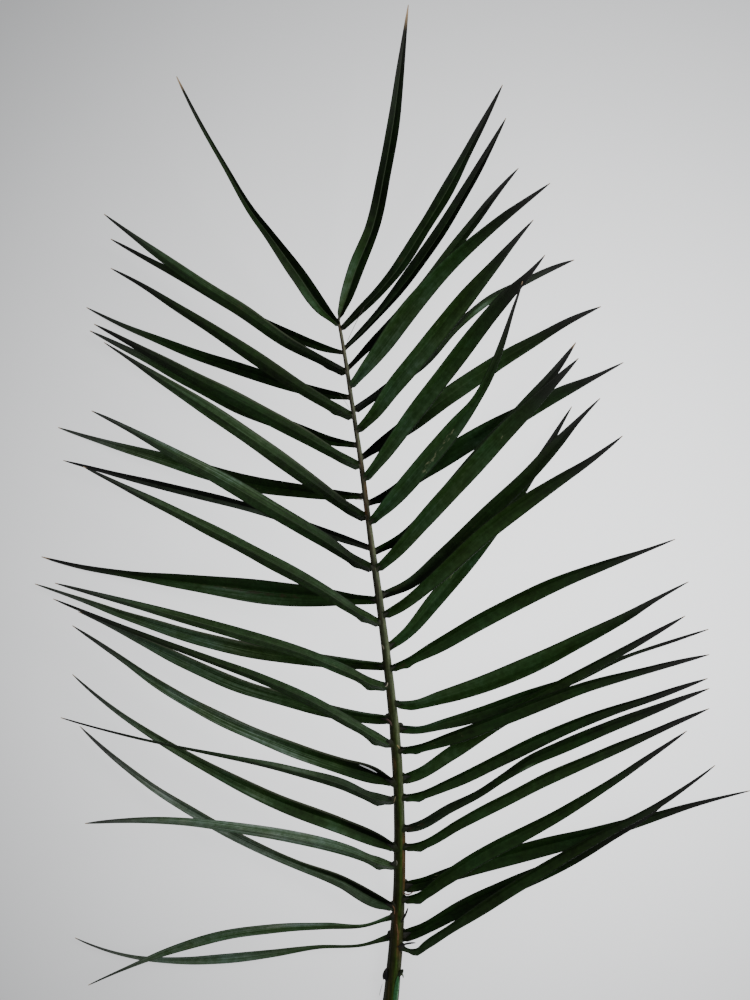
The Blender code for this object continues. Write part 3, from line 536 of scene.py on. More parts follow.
    (-1, FRONT, -1, 0.5, 36, (10, 81.5, 3.2), (0, 83.5, 4.8), (-15, 89, 6.8), (-50, 97.8, 7.0),
     (-80, 103, 6.5), (-110, 106.8, 5.0), (-140, 108, 3.4), (-174, 106, 0.9)),
    (-1, FRONT, 1, 0.5, 8, (9, 57, 4.0), (2, 59.6, 7.4), (-20, 71.6, 7.6), (-45, 81, 5.0),
     (-75, 94.3, 4.7), (-105, 110.7, 4.9), (-135, 129.5, 3.5), (-177, 164.3, 0.9)),
    (-1, FRONT, 1, 0.5, 26, (9, 49.8, 2.6), (4, 48, 2.0), (-4, 45.3, 2.0), (-30, 45, 4.0),
     (-60, 43.6, 5.0), (-90, 39.5, 5.4), (-120, 31.2, 4.5), (-145, 21.2, 2.0), (-172, 9, 0.9)),
    (-1, REAR, 1, 0.5, 3, (8.5, 38.3, 2.6), (3, 36.2, 2.2), (-5, 33.7, 2.0), (-35, 32, 2.4),
     (-60, 28.8, 4.0), (-90, 25.5, 4.8), (-120, 24.2, 3.2), (-145, 26.2, 1.9), (-180, 37.5, 0.9)),
)
LIFT_CURVE, ROOT_OFFSET = 1.7, 0.22
FOLD_WIDE, FOLD_EVEN, RIB_WIDE = np.radians(8), np.radians(36), 0.8
FOLD_CLOSED, CLOSED_LENGTH, STEEPEST = np.radians(50), 26, np.radians(66)
NARROW, FULL = 1.5, 4.5
STATIONS, HALF_COLUMNS, CROWDED = 84, 8, 1.15   # CROWDED brings stations towards the rachis
BLADE, MARGIN, RIB_KEEL = 0.5, 0.24, 0.35       # thicknesses, and how far the rib stands out
JOINT_SWELL, JOINT_LENGTH = 0.7, 3.2
STEP_PLACE, STEP_LENGTH = 12.0, 2.4
HIDDEN_SHARE = 0.3                              # of its width that a blade has in the rachis
# How much broader a blade is by the rachis: ridges, troughs in front and behind, and over
# what length. All of it holds for a rachis and a blade of these widths or more.
BASE_RIDGE, BASE_FRONT, BASE_REAR, BASE_LENGTH = 2.7, 1.2, 2.4, 9.0
THICK_RACHIS, BROAD_BLADE = 7, 8
# A ridge's bumps there: how far out, reach, how much broader and how much lower it is.
RIDGE_BUMPS = ((0, 5, 1.6, 1.3), (8.5, 5.5, 2.7, 0.7))
NEEDLE_SHARE, NEEDLE_TAPER, NEEDLE_WIDTH = 0.05, 0.45, 0.35
ARCH, MARGIN_WAVE, WAVE_LIFT = 0.07, 0.16, 0.3
CREASE_ROUND, CREASE_DEPTH, RIB_REACH, LEAST_COSINE = 0.004, 0.063, 0.09, 0.55

# Leaflets whose lower half opens with a small step near the rachis: its size.
STEPS = {18: 0.3, 19: 0.15, 21: 0.25, 23: 0.3, 25: 0.3, 27: 0.3, 31: 0.15, 33: 0.2, 39: 0.2,
         29: 0.6, 41: 0.25, 43: 0.35, 45: 0.3, 47: 0.3, 49: 0.35}

# How much broader, in mm, each leaflet shows in its outer half than its row above gives.
BROADER = (
    0.3, 0.4,
    0.6, 0.4, 0.6, 1.0, 0.4, 0.5, 0.5, 0.1, 1.1, 0.6, 0.9, 0.8, 0.9, 1.4, 0.0, 0.6, 0.7, 0.0,
    1.3, 0.7, 1.8, 1.2, 1.3, 0.5, 1.4, 1.0, 0.2,
    0.2, 0.9, 0.5, 0.7, 0.6, 0.6, 1.2, 1.1, 0.1, 1.4, 1.0, 0.8, 0.2, 0.7, -0.5, 0.8, 1.1, 0.1,
    0.9, 0.4, 0.9, 0.2, 0.5,
)
# It sets in along the blade by share of its length, and ends this many mm before the tip.
BROADER_FROM, BROADER_EASE, BROADER_END = 0.15, 0.3, 17
# Leaflets whose needle has dried buff, and over how many mm: others have only its tip.
BUFF_ENDS, BUFF_TIP = {1: 10, 2: 15, 13: 4, 40: 5}, 0.8

# How light each leaflet is, from 0 near black over 0.4 plain green to 1 silver: its lower
# and upper half near the rachis, in the middle and far out. Besides each leaflet's own green
# these hold painted light and shade: halves painted darker or lighter by how they face the
# lamp, rear leaflets painted dark with shade near the rachis, and painted sheen towards silver.
# Then how plain its midrib's pale line is or, below 0, that of its upper margin.
TONES = (
    # The two at the end. Their lower half here is the outer one, as seen.
    (0.40, 0.20, 0.28, 0.13, 0.42, 0.24, 0.5), (0.26, 0.70, 0.22, 0.08, 0.27, 0.32, 0.6),
    # Right of the rachis, from its end down.
    (0.26, 0.20, 0.33, 0.28, 0.24, 0.19, 0.3), (0.18, 0.20, 0.22, 0.22, 0.18, 0.14, 0.4),
    (0.15, 0.11, 0.52, 0.50, 0.33, 0.28, 0.0), (0.64, 0.62, 0.55, 0.53, 0.34, 0.29, 0.0),
    (0.10, 0.07, 0.30, 0.20, 0.40, 0.34, 0.0), (0.56, 0.54, 0.58, 0.53, 0.42, 0.36, 0.0),
    (0.13, 0.08, 0.54, 0.48, 0.36, 0.30, 0.1), (0.56, 0.54, 0.52, 0.49, 0.34, 0.30, 0.0),
    (0.14, 0.09, 0.56, 0.48, 0.40, 0.34, 0.0), (0.57, 0.54, 0.56, 0.50, 0.39, 0.31, 0.0),
    (0.10, 0.38, 0.50, 0.42, 0.37, 0.33, 0.0), (0.51, 0.47, 0.57, 0.53, 0.40, 0.36, 0.0),
    (0.16, 0.48, 0.42, 0.42, 0.38, 0.34, 0.0), (0.48, 0.44, 0.51, 0.45, 0.38, 0.34, 0.0),
    (0.51, 0.49, 0.52, 0.49, 0.46, 0.40, 0.1), (0.43, 0.37, 0.43, 0.39, 0.32, 0.27, 0.0),
    (0.44, 0.57, 0.45, 0.48, 0.41, 0.41, 0.0), (0.38, 0.60, 0.43, 0.46, 0.26, 0.24, 0.0),
    (0.34, 0.29, 0.37, 0.33, 0.32, 0.28, 0.1), (0.46, 0.46, 0.48, 0.45, 0.35, 0.31, 0.0),
    (0.37, 0.33, 0.39, 0.37, 0.30, 0.26, 0.0), (0.34, 0.30, 0.34, 0.24, 0.34, 0.28, 0.0),
    (0.38, 0.36, 0.43, 0.40, 0.34, 0.31, 0.0), (0.35, 0.35, 0.40, 0.37, 0.22, 0.19, 0.0),
    (0.38, 0.36, 0.39, 0.37, 0.38, 0.36, 0.0), (0.24, 0.32, 0.26, 0.30, 0.20, 0.18, 0.0),
    (0.37, 0.33, 0.38, 0.29, 0.30, 0.25, 0.0),
    # Left of the rachis, from its end down.
    (0.20, 0.22, 0.15, 0.20, 0.20, 0.30, 0.0), (0.14, 0.14, 0.37, 0.41, 0.45, 0.54, -0.4),
    (0.18, 0.18, 0.18, 0.20, 0.52, 0.58, 0.0), (0.30, 0.32, 0.26, 0.36, 0.22, 0.28, -0.25),
    (0.24, 0.22, 0.22, 0.26, 0.55, 0.60, 0.0), (0.33, 0.35, 0.35, 0.42, 0.22, 0.26, -0.5),
    (0.30, 0.22, 0.40, 0.35, 0.72, 0.72, 0.0), (0.20, 0.20, 0.46, 0.56, 0.45, 0.52, -0.4),
    (0.30, 0.18, 0.42, 0.14, 0.36, 0.20, 0.0), (0.24, 0.26, 0.44, 0.56, 0.56, 0.68, 0.2),
    (0.36, 0.28, 0.63, 0.40, 0.35, 0.27, 0.0), (0.40, 0.46, 0.34, 0.44, 0.47, 0.58, 0.2),
    (0.24, 0.36, 0.65, 0.61, 0.62, 0.60, -0.8), (0.44, 0.46, 0.46, 0.44, 0.48, 0.54, 0.3),
    (0.36, 0.42, 0.62, 0.61, 0.64, 0.60, -0.9), (0.46, 0.49, 0.33, 0.41, 0.26, 0.24, 0.2),
    (0.32, 0.10, 0.74, 0.84, 0.54, 0.54, -0.9), (0.36, 0.38, 0.36, 0.44, 0.24, 0.22, 0.2),
    (0.36, 0.14, 0.47, 0.50, 0.64, 0.60, -0.9), (0.54, 0.56, 0.81, 0.84, 0.73, 0.69, 0.1),
    (0.46, 0.06, 0.74, 0.66, 0.76, 0.72, -0.9), (0.30, 0.52, 0.60, 0.72, 0.72, 0.70, 0.0),
    (0.38, 0.44, 0.64, 0.70, 0.80, 0.76, 0.1),
)
# Leaflets greyer than the rest, and how much: on the right only near the rachis.
GREYED = {3: 0.2, 4: 0.5, 5: 0.4, 9: 0.2, 15: 0.3, 24: 0.4, 29: 0.15, 38: 0.55, 47: 0.2, 50: 0.2, 52: 0.1}
GREY_REACH, TONE_SHARES = 0.3, (0.1, 0.42, 0.82)
# How dark joints are: on the rear row, there from leaflet 40 on, in front by side.
REAR_DARK, LAST_REAR_DARK, LAST_FROM, FRONT_DARK = 0.75, 0.3, 40, {-1: 0.25, 1: 0.4}
# How plainly veins show on the right, and on the left front and rear row.
VEINS_RIGHT, VEINS_LEFT = 0.3, {FRONT: 1.3, REAR: 1.0}

# Marks: leaflet, seen x and y in mm, reach along it, place and breadth across its half
# widths, and how much it is abraded pale, browned, or shows its silver underside. The pale
# ones on leaflet 12 are painted glints, and the silver on leaflets 12, 13, 46, 47 and 51 is
# painted sheen.
MARKS = (
    (7, 62, 417, 10, -0.3, 0.7, 0.0, 0.0, 1.3), (7, 104, 438, 12, 0.0, 1.2, 0.0, 0.0, 0.7),
    (12, 32, 319, 9, -0.5, 0.35, 1.0, 0.0, 0.0), (12, 46, 337, 7, -0.3, 0.25, 1.2, 0.0, 0.0),
    (12, 38, 328, 9, -0.4, 0.3, 0.6, 0.0, 0.2), (13, 106, 380, 14, 0.4, 0.5, 0.0, 0.0, 0.6),
    (17, 46, 252, 7, 0.2, 0.5, 0.7, 0.0, 0.0), (14, 60, 345, 14, -0.3, 0.6, 0.6, 0.0, 0.1),
    (22, 31, 140, 5, 0.2, 0.6, 0.4, 0.0, 0.35), (22, 42, 147, 4, -0.2, 0.5, 0.5, 0.0, 0.2),
    (24, 75, 150, 12, 0.6, 0.6, 0.0, 0.5, 0.0), (24, 84, 155, 6, -0.8, 0.25, 0.0, 0.0, 1.2),
    (29, 183, 126, 4, 0.0, 0.6, 0.9, 0.0, 0.6), (26, 37, 77, 4, 0.0, 0.5, 0.8, 0.0, 0.0),
    (36, -59, 308, 22, -0.6, 0.5, 0.3, 0.5, 0.0), (40, -88, 248, 30, -0.05, 0.18, 0.6, 0.8, 0.0),
    (40, -60, 244, 22, -0.2, 0.15, 0.0, 0.9, 0.0), (31, -75, 430, 8, 0.1, 0.4, 0.3, 0.7, 0.0),
    (43, -25, 199, 5, 0.2, 0.6, 0.6, 0.0, 0.0), (45, -176, 232, 4, 0.3, 0.8, 0.9, 0.7, 0.0),
    (46, -50, 147, 13, -0.85, 0.25, 0.0, 0.0, 0.8), (50, -112, 148, 12, 0.0, 0.8, 0.0, 0.0, 0.7),
    (48, -70, 124, 10, -0.6, 0.5, 0.0, 0.0, 0.7), (13, 45, 322, 18, -0.86, 0.12, 0.0, 0.0, 1.2),
    (44, -120, 190, 20, 0.4, 0.5, 0.2, 0.0, 0.2), (35, -20, 285, 8, 0.0, 0.5, 0.0, 0.5, 0.0),
    (1, -34, 420, 12, -0.6, 0.3, 0.0, 0.0, 0.6), (48, -22, 103, 14, -0.8, 0.3, 0.0, 0.0, 0.7),
    (15, 24, 222, 10, 0.4, 0.5, 0.3, 0.8, 0.0), (18, 14, 198, 12, -0.4, 0.6, 0.2, 0.6, 0.0),
    (24, 22, 104, 9, 0.0, 0.9, 0.5, 0.9, 0.0), (26, 36, 76, 10, 0.4, 0.5, 0.5, 0.3, 0.2),
    (4, 6, 417, 22, 0.1, 0.4, 0.0, 0.0, 0.8), (8, 52, 392, 5, 0.3, 0.4, 0.7, 0.0, 0.0),
    (21, 45, 150, 30, 0.0, 0.9, 0.2, 0.55, 0.0), (15, 70, 262, 8, -0.2, 0.6, 0.2, 0.6, 0.0),
    (46, -22, 146, 8, 0.0, 0.5, 0.5, 0.0, 0.5), (3, 15, 442, 30, 0.4, 0.5, 0.0, 0.6, 0.0),
    (48, -26, 103, 9, 0.1, 0.4, 0.4, 0.0, 0.6),
    (42, -10, 202, 24, 0.9, 0.25, 0.0, 0.0, 1.2), (44, -8, 170, 20, 0.9, 0.25, 0.0, 0.0, 1.1),
    (47, -45, 165, 22, 0.4, 0.5, 0.0, 0.0, 0.9), (51, -48, 45, 20, 0.4, 0.5, 0.0, 0.0, 0.9),
)
MARK_MOST = 1.3

# The blade's green by how light it is, its grey silver end painted sheen on some blades and
# the silver underside on others, and the colours laid on it.
GREENS = (
    (0.0, (0.0026, 0.0038, 0.0020)), (0.2, (0.0056, 0.0112, 0.0030)), (0.4, (0.0120, 0.0315, 0.0058)),
    (0.5, (0.0185, 0.0480, 0.0105)), (0.6, (0.0330, 0.0700, 0.0230)), (0.8, (0.0880, 0.1350, 0.0780)),
    (1.0, (0.2200, 0.2700, 0.2050)),
)
TO_YELLOW, TO_BLUE = (1.16, 0.98, 0.86, 1), (0.84, 1.03, 1.26, 1)
DRAB = (0.0190, 0.0192, 0.0160, 1)
PALE_RIB, PALE_MARGIN = (0.085, 0.115, 0.065, 1), (0.105, 0.120, 0.075, 1)
# Dark margins: thin and dark, partly painted shade where the edge turns from the lamp.
DARK_MARGIN = (0.0050, 0.0065, 0.0035, 1)
# Pale flecks: abrasion, and painted glints on leaflet 12.
BROWNED, ABRADED_AND_GLINT = (0.034, 0.022, 0.012, 1), (0.20, 0.22, 0.12, 1)
JOINT_BROWN = (0.0095, 0.0080, 0.0050, 1)
BUFF = (0.48, 0.34, 0.21, 1)
LONGEST = 250                                   # the length that the look's way out is a share of


def blade_path(row, tip_height, points):
    """Seen places, places, widths and shares of length along a leaflet out to its tip.

    Its height goes from the rachis to the tip's height by 1 - (1 - share) ** LIFT_CURVE.
    """
    points = np.array(points, float)
    heading = points[1, :2] - points[0, :2]
    heading /= np.linalg.norm(heading)
    rachis_x, rachis_width, middle = rachis_at(points[0, 1])
    back = np.clip((points[0, 0] - rachis_x) / heading[0], rachis_width / 4, rachis_width)
    points = np.vstack([np.append(points[0, :2] - back * heading, points[0, 2]), points])
    shares = np.linspace(0, 1, STATIONS) ** CROWDED
    x, y, width = curve_through(points, shares).T
    start = middle + row * ROOT_OFFSET * RACHIS_DEPTH * rachis_width
    height = start + (tip_height - start) * (1 - (1 - shares) ** LIFT_CURVE)
    seen = np.stack([x, y], axis=1)
    place, shrink = true_place(seen, height)
    return shares, seen, np.column_stack([place, height]), width * shrink


def way_to_edge(seen, gone):
    """How far along a leaflet the rachis' edge is."""
    x, rachis_width, _ = rachis_at(seen[0, 1])
    return gone[np.abs(seen[:, 0] - x).searchsorted(rachis_width / 2)]


def base_shape(row, fold, out, rachis_width, widest):
    """How much broader and how much lower a blade is near the rachis.

    All are broader by a hump there. A ridge has its bumps besides, the more the thicker
    the rachis is.
    """
    thick = min(rachis_width / THICK_RACHIS, 1) ** 2
    trough = BASE_FRONT if row == FRONT else BASE_REAR * thick
    height = BASE_RIDGE * (1 - thick) if fold < 0 else trough
    broader = height * min(widest / BROAD_BLADE, 1) * hump(out, 0, BASE_LENGTH)
    lower = np.zeros(len(out))
    if fold < 0:
        for place_out, reach, breadth, drop in RIDGE_BUMPS:
            broader += thick * breadth * hump(out, place_out, reach)
            lower += thick * drop * hump(out, place_out, reach)
    return broader, lower


def fold_slopes(width, rib, gone):
    """Slopes of the lower and upper half, which are equally wide when laid flat.

    The broader half slopes as the fold does, steeply near the rachis and then as much as
    its rib's place gives, and a narrow blade is flat. The other half's cosine is its
    width over the flat half's.
    """
    share = max(rib, 1 - rib)
    even = (RIB_WIDE - share) / (RIB_WIDE - 0.5)
    opened = FOLD_WIDE + even * (FOLD_EVEN - FOLD_WIDE)
    full = np.clip((width - NARROW) / (FULL - NARROW), 0, 1)
    slope = (FOLD_CLOSED + (opened - FOLD_CLOSED) * ease(gone / CLOSED_LENGTH)) * full
    flat = share * width / np.cos(slope)
    steep = np.arccos(np.clip((1 - share) * width / flat, np.cos(STEEPEST), 1)) * full
    return (slope, steep) if rib >= 0.5 else (steep, slope)


def blade_width(number, width, gone, shares, emerged):
    """The widths with the outer half broader by its row of BROADER, narrowed where the
    blade hasn't emerged from the rachis, and drawn in to the needle."""
    left = gone[-1] - gone
    outer = (1 - np.exp(-left / BROADER_END)) * ease((shares - BROADER_FROM) / BROADER_EASE)
    width = width + BROADER[number - 1] * outer
    needle = np.clip((shares - 1 + NEEDLE_SHARE) / NEEDLE_SHARE, 0, 1)
    return np.maximum(width * emerged * (1 - NEEDLE_TAPER * needle**2), NEEDLE_WIDTH)


def margin_waves(drawn, gone, lower):
    """A fine waviness for both margins: four sines along the blade with drawn strengths."""
    ripple = drawn.uniform(-1, 1, (2, 4))
    waves = sum(
        ripple[:, k, None] * np.sin(gone / (7 + 9 * k) + 5 * ripple[::-1, k, None]) for k in range(4)
    )
    return np.where(lower, waves[0][:, None], waves[1][:, None]) * MARGIN_WAVE


def make_blade(number):
    """One leaflet as rings of points: over its top from the lower margin to the upper one
    and back underneath. q runs from -1 to 1 across it, and each half is a slope from the
    rib, rounded there, with an arch of ARCH * sin(pi * |q|) and a thickness that falls
    from the rib to the margin as 1 - |q| ** 3.
    """
    side, row, fold, rib, tip_height, *points = LEAFLETS[number - 1]
    drawn = np.random.default_rng(number)
    shares, seen, path, width = blade_path(row, tip_height, points)
    gone = length_along(path)
    edge = way_to_edge(seen, gone)
    out = np.maximum(gone - edge, 0)
    emerged = HIDDEN_SHARE + (1 - HIDDEN_SHARE) * ease(gone / edge * 1.2 - 0.2)
    broader, lowered = base_shape(row, fold, out, rachis_at(seen[0, 1])[1], width.max())
    width = blade_width(number, width + broader, gone, shares, emerged)
    low, high = fold_slopes(width, rib, gone)

    q = np.linspace(-1, 1, 2 * HALF_COLUMNS + 1)
    lower = q < 0
    extent = np.where(lower, rib, 1 - rib) * width[:, None]
    step = STEPS.get(number, 0) * hump(gone, STEP_PLACE, STEP_LENGTH)
    extent = extent * (1 + np.where(lower, step[:, None], 0) * np.abs(q) ** 3)
    wave = margin_waves(drawn, gone, lower) * q**2
    slope = fold * np.tan(np.where(lower, low[:, None], high[:, None]))
    across = extent * q + np.sign(q) * wave * np.minimum(width / 6, 1)[:, None] - lowered[:, None]
    rounded = np.sqrt(q**2 + CREASE_ROUND) - CREASE_DEPTH
    up = extent * slope * (rounded + ARCH * np.sin(np.pi * np.abs(q)))
    up = up + WAVE_LIFT * np.minimum(width / BROAD_BLADE, 1)[:, None] * wave

    thick = MARGIN + (BLADE - MARGIN) * (1 - np.abs(q) ** 3) + RIB_KEEL * hump(q, 0, RIB_REACH)
    swell = JOINT_SWELL * hump(out, 0, JOINT_LENGTH) * emerged**2
    thick = thick * np.minimum(width / 3, 1)[:, None] + swell[:, None] * (1 - q**2)
    tilt = np.arctan(slope * np.sign(q))
    keel = up - thick / np.maximum(np.cos(np.maximum(low, high))[:, None], LEAST_COSINE)
    at_rib = np.abs(q) < 0.01
    under_across = np.where(at_rib, across, across + thick * np.sin(tilt))
    under_up = np.where(at_rib, keel, up - thick * np.cos(tilt))
    across = np.concatenate([across, under_across[:, ::-1]], axis=1) + (rib - 0.5) * width[:, None]
    up = np.concatenate([up, under_up[:, ::-1]], axis=1)
    # The blade's middle height follows its path near the rachis, its lowest far out.
    lowest, highest = up.min(axis=1), up.max(axis=1)
    up = up - ((1 - shares) * (lowest + highest) / 2 + shares * lowest)[:, None]

    along = np.gradient(path[:, :2], axis=0)
    along /= np.linalg.norm(along, axis=1)[:, None]
    to_tip = side * np.stack([-along[:, 1], along[:, 0]], axis=1)
    rings = np.empty((*across.shape, 3))
    rings[..., :2] = path[:, None, :2] + across[..., None] * to_tip[:, None]
    rings[..., 2] = path[:, 2:] + up
    return rings, seen, shares, out, np.concatenate([q, q[::-1]]), drawn.uniform()


def marks_on(number, seen, gone, q):
    """Strengths of the pale, brown and silver marks: a hump along and across each."""
    found = np.zeros((len(gone), len(q), 4))
    for leaflet, x, y, reach, middle, breadth, *strengths in MARKS:
        if leaflet != number:
            continue
        at = gone[np.linalg.norm(seen - (x, y), axis=1).argmin()]
        spot = hump(gone, at, reach)[:, None] * hump(q, middle, breadth)
        found[..., :3] += spot[..., None] * strengths
    return np.clip(found, 0, MARK_MOST)


def looks_of(number, seen, shares, gone, q, chance):
    """A leaflet's colour attributes: place is across, share of length, way out and the
    leaflet's chance; tone is how light, the midrib's line, how grey and how dark its joint
    is; marks are their strengths and how plainly veins show; dried is how buff it is.
    """
    side, row = LEAFLETS[number - 1][:2]
    place, tone = np.empty((2, len(gone), len(q), 4))
    place[..., 0] = 0.5 + q / 2
    place[..., 1] = shares[:, None]
    place[..., 2] = gone[:, None] / LONGEST
    place[..., 3] = chance
    *stops, rib_line = TONES[number - 1]
    low, high = [np.interp(shares, TONE_SHARES, stops[k::2])[:, None] for k in (0, 1)]
    tone[..., 0] = low + (high - low) * ease(0.5 + 2.5 * q)
    tone[..., 1] = rib_line
    tone[..., 2] = GREYED.get(number, 0) * (hump(shares, 0, GREY_REACH)[:, None] if side > 0 else 1)
    if row == REAR:
        tone[..., 3] = REAR_DARK if number < LAST_FROM else LAST_REAR_DARK
    else:
        tone[..., 3] = FRONT_DARK[side]
    marks = marks_on(number, seen, gone, q)
    marks[..., 3] = VEINS_RIGHT if side > 0 else VEINS_LEFT[row]
    reach = BUFF_ENDS.get(number, BUFF_TIP)
    buff = np.clip(1.5 * (1 - (gone[-1] - gone) / reach), 0, 1)
    dried = np.broadcast_to(buff[:, None, None], place.shape)
    looks = {"place": place, "tone": tone, "marks": marks, "dried": dried}
    return {key: value.reshape(-1, 4) for key, value in looks.items()}


def joined(shapes):
    """Points and faces of closed shapes, given as (rings, whether mirrored) rows."""
    points, quads, ends, first = [], [], [], 0
    for rings, mirrored in shapes:
        faces, caps = grid_faces(*rings.shape[:2], first)
        if mirrored:
            faces, caps = faces[:, ::-1], [cap[::-1] for cap in caps]
        quads.append(faces)
        ends += caps
        points.append(rings.reshape(-1, 3))
        first += len(points[-1])
    return np.concatenate(points), (np.concatenate(quads), ends)


def make_leaflets(name, finish, numbers):
    """A piece from leaflets, with each one's colour attributes."""
    shapes, looks = [], []
    for number in numbers:
        rings, *lie = make_blade(number)
        shapes.append((rings, LEAFLETS[number - 1][0] < 0))
        looks.append(looks_of(number, *lie))
    values = {key: np.concatenate([look[key] for look in looks]) for key in looks[0]}
    put_mesh(name, *joined(shapes), values, finish, "leaflets")


leaf, add, link = shader_of("leaflet", 0.42, 0.16)
place = add("Attribute", attribute_name="place")
across, share, gone = add("SeparateColor", {0: place.outputs["Color"]}).outputs
chance = place.outputs["Alpha"]
tones = add("Attribute", attribute_name="tone")
tone, rib_line, greyed = add("SeparateColor", {0: tones.outputs["Color"]}).outputs
joint_dark = tones.outputs["Alpha"]
marks = add("Attribute", attribute_name="marks")
# Pale marks are abrasion and painted glints, silver marks the underside and painted sheen.
pale_and_glint_mark, brown_mark, silver_and_sheen_mark = add("SeparateColor", {0: marks.outputs["Color"]}).outputs
veined = marks.outputs["Alpha"]
dried = add("Attribute", attribute_name="dried")
dry = add("SeparateColor", {0: dried.outputs["Color"]}).outputs[0]

# Fine lengthwise veins and broader bands: noise on the place across and along the blade,
# drawn out along it and moved on for each leaflet. Veins show most where it is silvery.
strip = add("CombineXYZ", {0: across, 1: gone, 2: product_of(chance, 40.0)}).outputs[0]
veins = noise_on(stretched(strip, (30, 4, 1)), 1.0, 3.0)
bands = noise_on(stretched(strip, (6, 3, 1)), 1.0, 2.0)
body = add("TexCoord").outputs["Object"]
mottle = noise_on(body, 260.0, 4.0, 0.6)
clouds = noise_on(body, 34.0, 3.0, 0.6)
vein_share = product_of(range_of(tone, 0.36, 0.60, 0.14, 1.0), veined)
# Silver marks, partly painted sheen, lift the level towards the silver end.
level = sum_of(
    tone, product_of(range_of(veins, 0.3, 0.7, -0.22, 0.22), vein_share),
    range_of(bands, 0.25, 0.75, -0.05, 0.05), range_of(mottle, 0.25, 0.75, -0.10, 0.10),
    range_of(clouds, 0.3, 0.7, -0.05, 0.05), product_of(silver_and_sheen_mark, 0.36),
    range_of(share, 0.78, 0.98, 0.0, -0.2),
)

# The green leans to yellow or to blue in clouds, and to a drab grey brown far out.
lean = sum_of(range_of(clouds, 0.3, 0.7, 0.15, 0.8), product_of(chance, 0.2))
colour = mixed(1.0, ramp_of(level, GREENS), mixed(lean, TO_YELLOW, TO_BLUE), "MULTIPLY")
far = product_of(range_of(share, 0.58, 0.93, 0.0, 0.85), range_of(tone, 0.35, 0.7, 1.0, 0.6))
drab = product_of(far, range_of(veined, 0.3, 1.0, 1.0, 0.6))
colour = mixed(drab, colour, DRAB)
greyed = sum_of(greyed, range_of(share, 0.76, 0.92, 0.0, 0.65))
vivid = range_of(greyed, 0.0, 1.0, 1.0, 0.0)
colour = add("HueSaturation", {"Saturation": vivid, "Color": colour}).outputs[0]
# The midrib or the upper margin is a pale line on some. Other margins are thin and dark,
# and partly painted shade where the edge turns away from the lamp.
from_rib = worked("ABSOLUTE", sum_of(across, -0.5))
line = product_of(range_of(from_rib, 0.012, 0.045, 1.0, 0.0), range_of(rib_line, 0.0, 1.0, 0.0, 1.0))
colour = mixed(line, colour, PALE_RIB)
colour = mixed(range_of(from_rib, 0.44, 0.5, 0.0, 0.85), colour, DARK_MARGIN)
edge_line = product_of(range_of(across, 0.84, 0.93, 0.0, 1.0), range_of(rib_line, -1.0, 0.0, 1.0, 0.0))
edge_line = product_of(edge_line, range_of(gone, 0.05, 0.18, 0.25, 1.0))
colour = mixed(edge_line, colour, PALE_MARGIN)
# Marks: brown patches, and pale flecks drawn out along the blade: abraded, and painted glints on leaflet 12.
browned = sum_of(mottle, range_of(brown_mark, 0.0, 1.0, 0.0, 0.35))
colour = mixed(range_of(browned, 0.70, 0.90, 0.0, 0.7), colour, BROWNED)
fleck = noise_on(stretched(strip, (9, 60, 1)), 1.0, 4.0, 0.7)
flecked = sum_of(fleck, range_of(pale_and_glint_mark, 0.0, 1.0, 0.0, 0.22))
colour = mixed(range_of(flecked, 0.72, 0.80, 0.0, 0.85), colour, ABRADED_AND_GLINT)
# The joint at the rachis is near black brown, and the needle's end is buff.
joint = product_of(range_of(gone, 0.001, 0.014, 0.9, 0.0), joint_dark)
colour = mixed(joint, colour, JOINT_BROWN)
link(mixed(dry, colour, BUFF), "Base Color")
link(range_of(veins, 0.2, 0.8, 0.36, 0.54), "Roughness")
link(range_of(tone, 0.10, 0.55, 0.03, 0.17), "Specular IOR Level")
link(bump_of(sum_of(product_of(veins, 1.6), mottle), 0.4, 0.0003), "Normal")

make_leaflets("terminal_leaflets", leaf, range(1, 3))
make_leaflets("right_leaflets", leaf, range(3, 30))
make_leaflets("left_leaflets", leaf, range(30, 53))


# Joints, stubs and threads: a collar where each leaflet leaves the rachis, flared on the
# rachis and dark grey brown; scars and curled fibres on some; the stubs of what broke off
# by the stalk, with a strip of its skin peeled to bright green; spines and loose threads.
COLLAR_RINGS, COLLAR_SIDES = 14, 14
# Collars: length and the flare's reach in mm, and the flare as a share of the rachis.
REAR_COLLAR, WEBBED_COLLAR, FRONT_COLLAR = (3.8, 1.9, 0.42), (3.8, 1.9, 0.32), (2.2, 1.0, 0.22)
WEBBED = (46, 48, 50)                         # front leaflets with a collar as long as the rear's
COLLAR_DARK, COLLAR_GREY = np.array([0.0075, 0.0090, 0.0050]), np.array([0.030, 0.028, 0.025])
COLLAR_SKIN = 0.6                             # how light it is beside the rachis' colour there
FULL_COLLAR_AT, COLLAR_HALF, COLLAR_HEIGHT = 6.5, 0.9, 0.5


def tube(path, breadths, heights, sides):
    """Rings of an ellipse along a path in mm, breadth across and height up from it."""
    along = np.gradient(path, axis=0)
    along /= np.linalg.norm(along, axis=1)[:, None]
    right = np.cross(along, (0, 0, 1))
    right /= np.linalg.norm(right, axis=1)[:, None]
    up = np.cross(right, along)
    turn = np.linspace(0, 2 * np.pi, sides, endpoint=False)[:, None]
    across = np.cos(turn) * (breadths[:, None] * right)[:, None]
    return path[:, None] + across + np.sin(turn) * (heights[:, None] * up)[:, None]


def skin_at(seen_y):
    """The rachis' colour where it is seen at this y."""
    at = [place_along for place_along, _ in RACHIS_TONES]
    tones = np.array([tone for _, tone in RACHIS_TONES])
    return np.array([np.interp(share_along(seen_y), at, tones[:, k]) for k in range(3)])


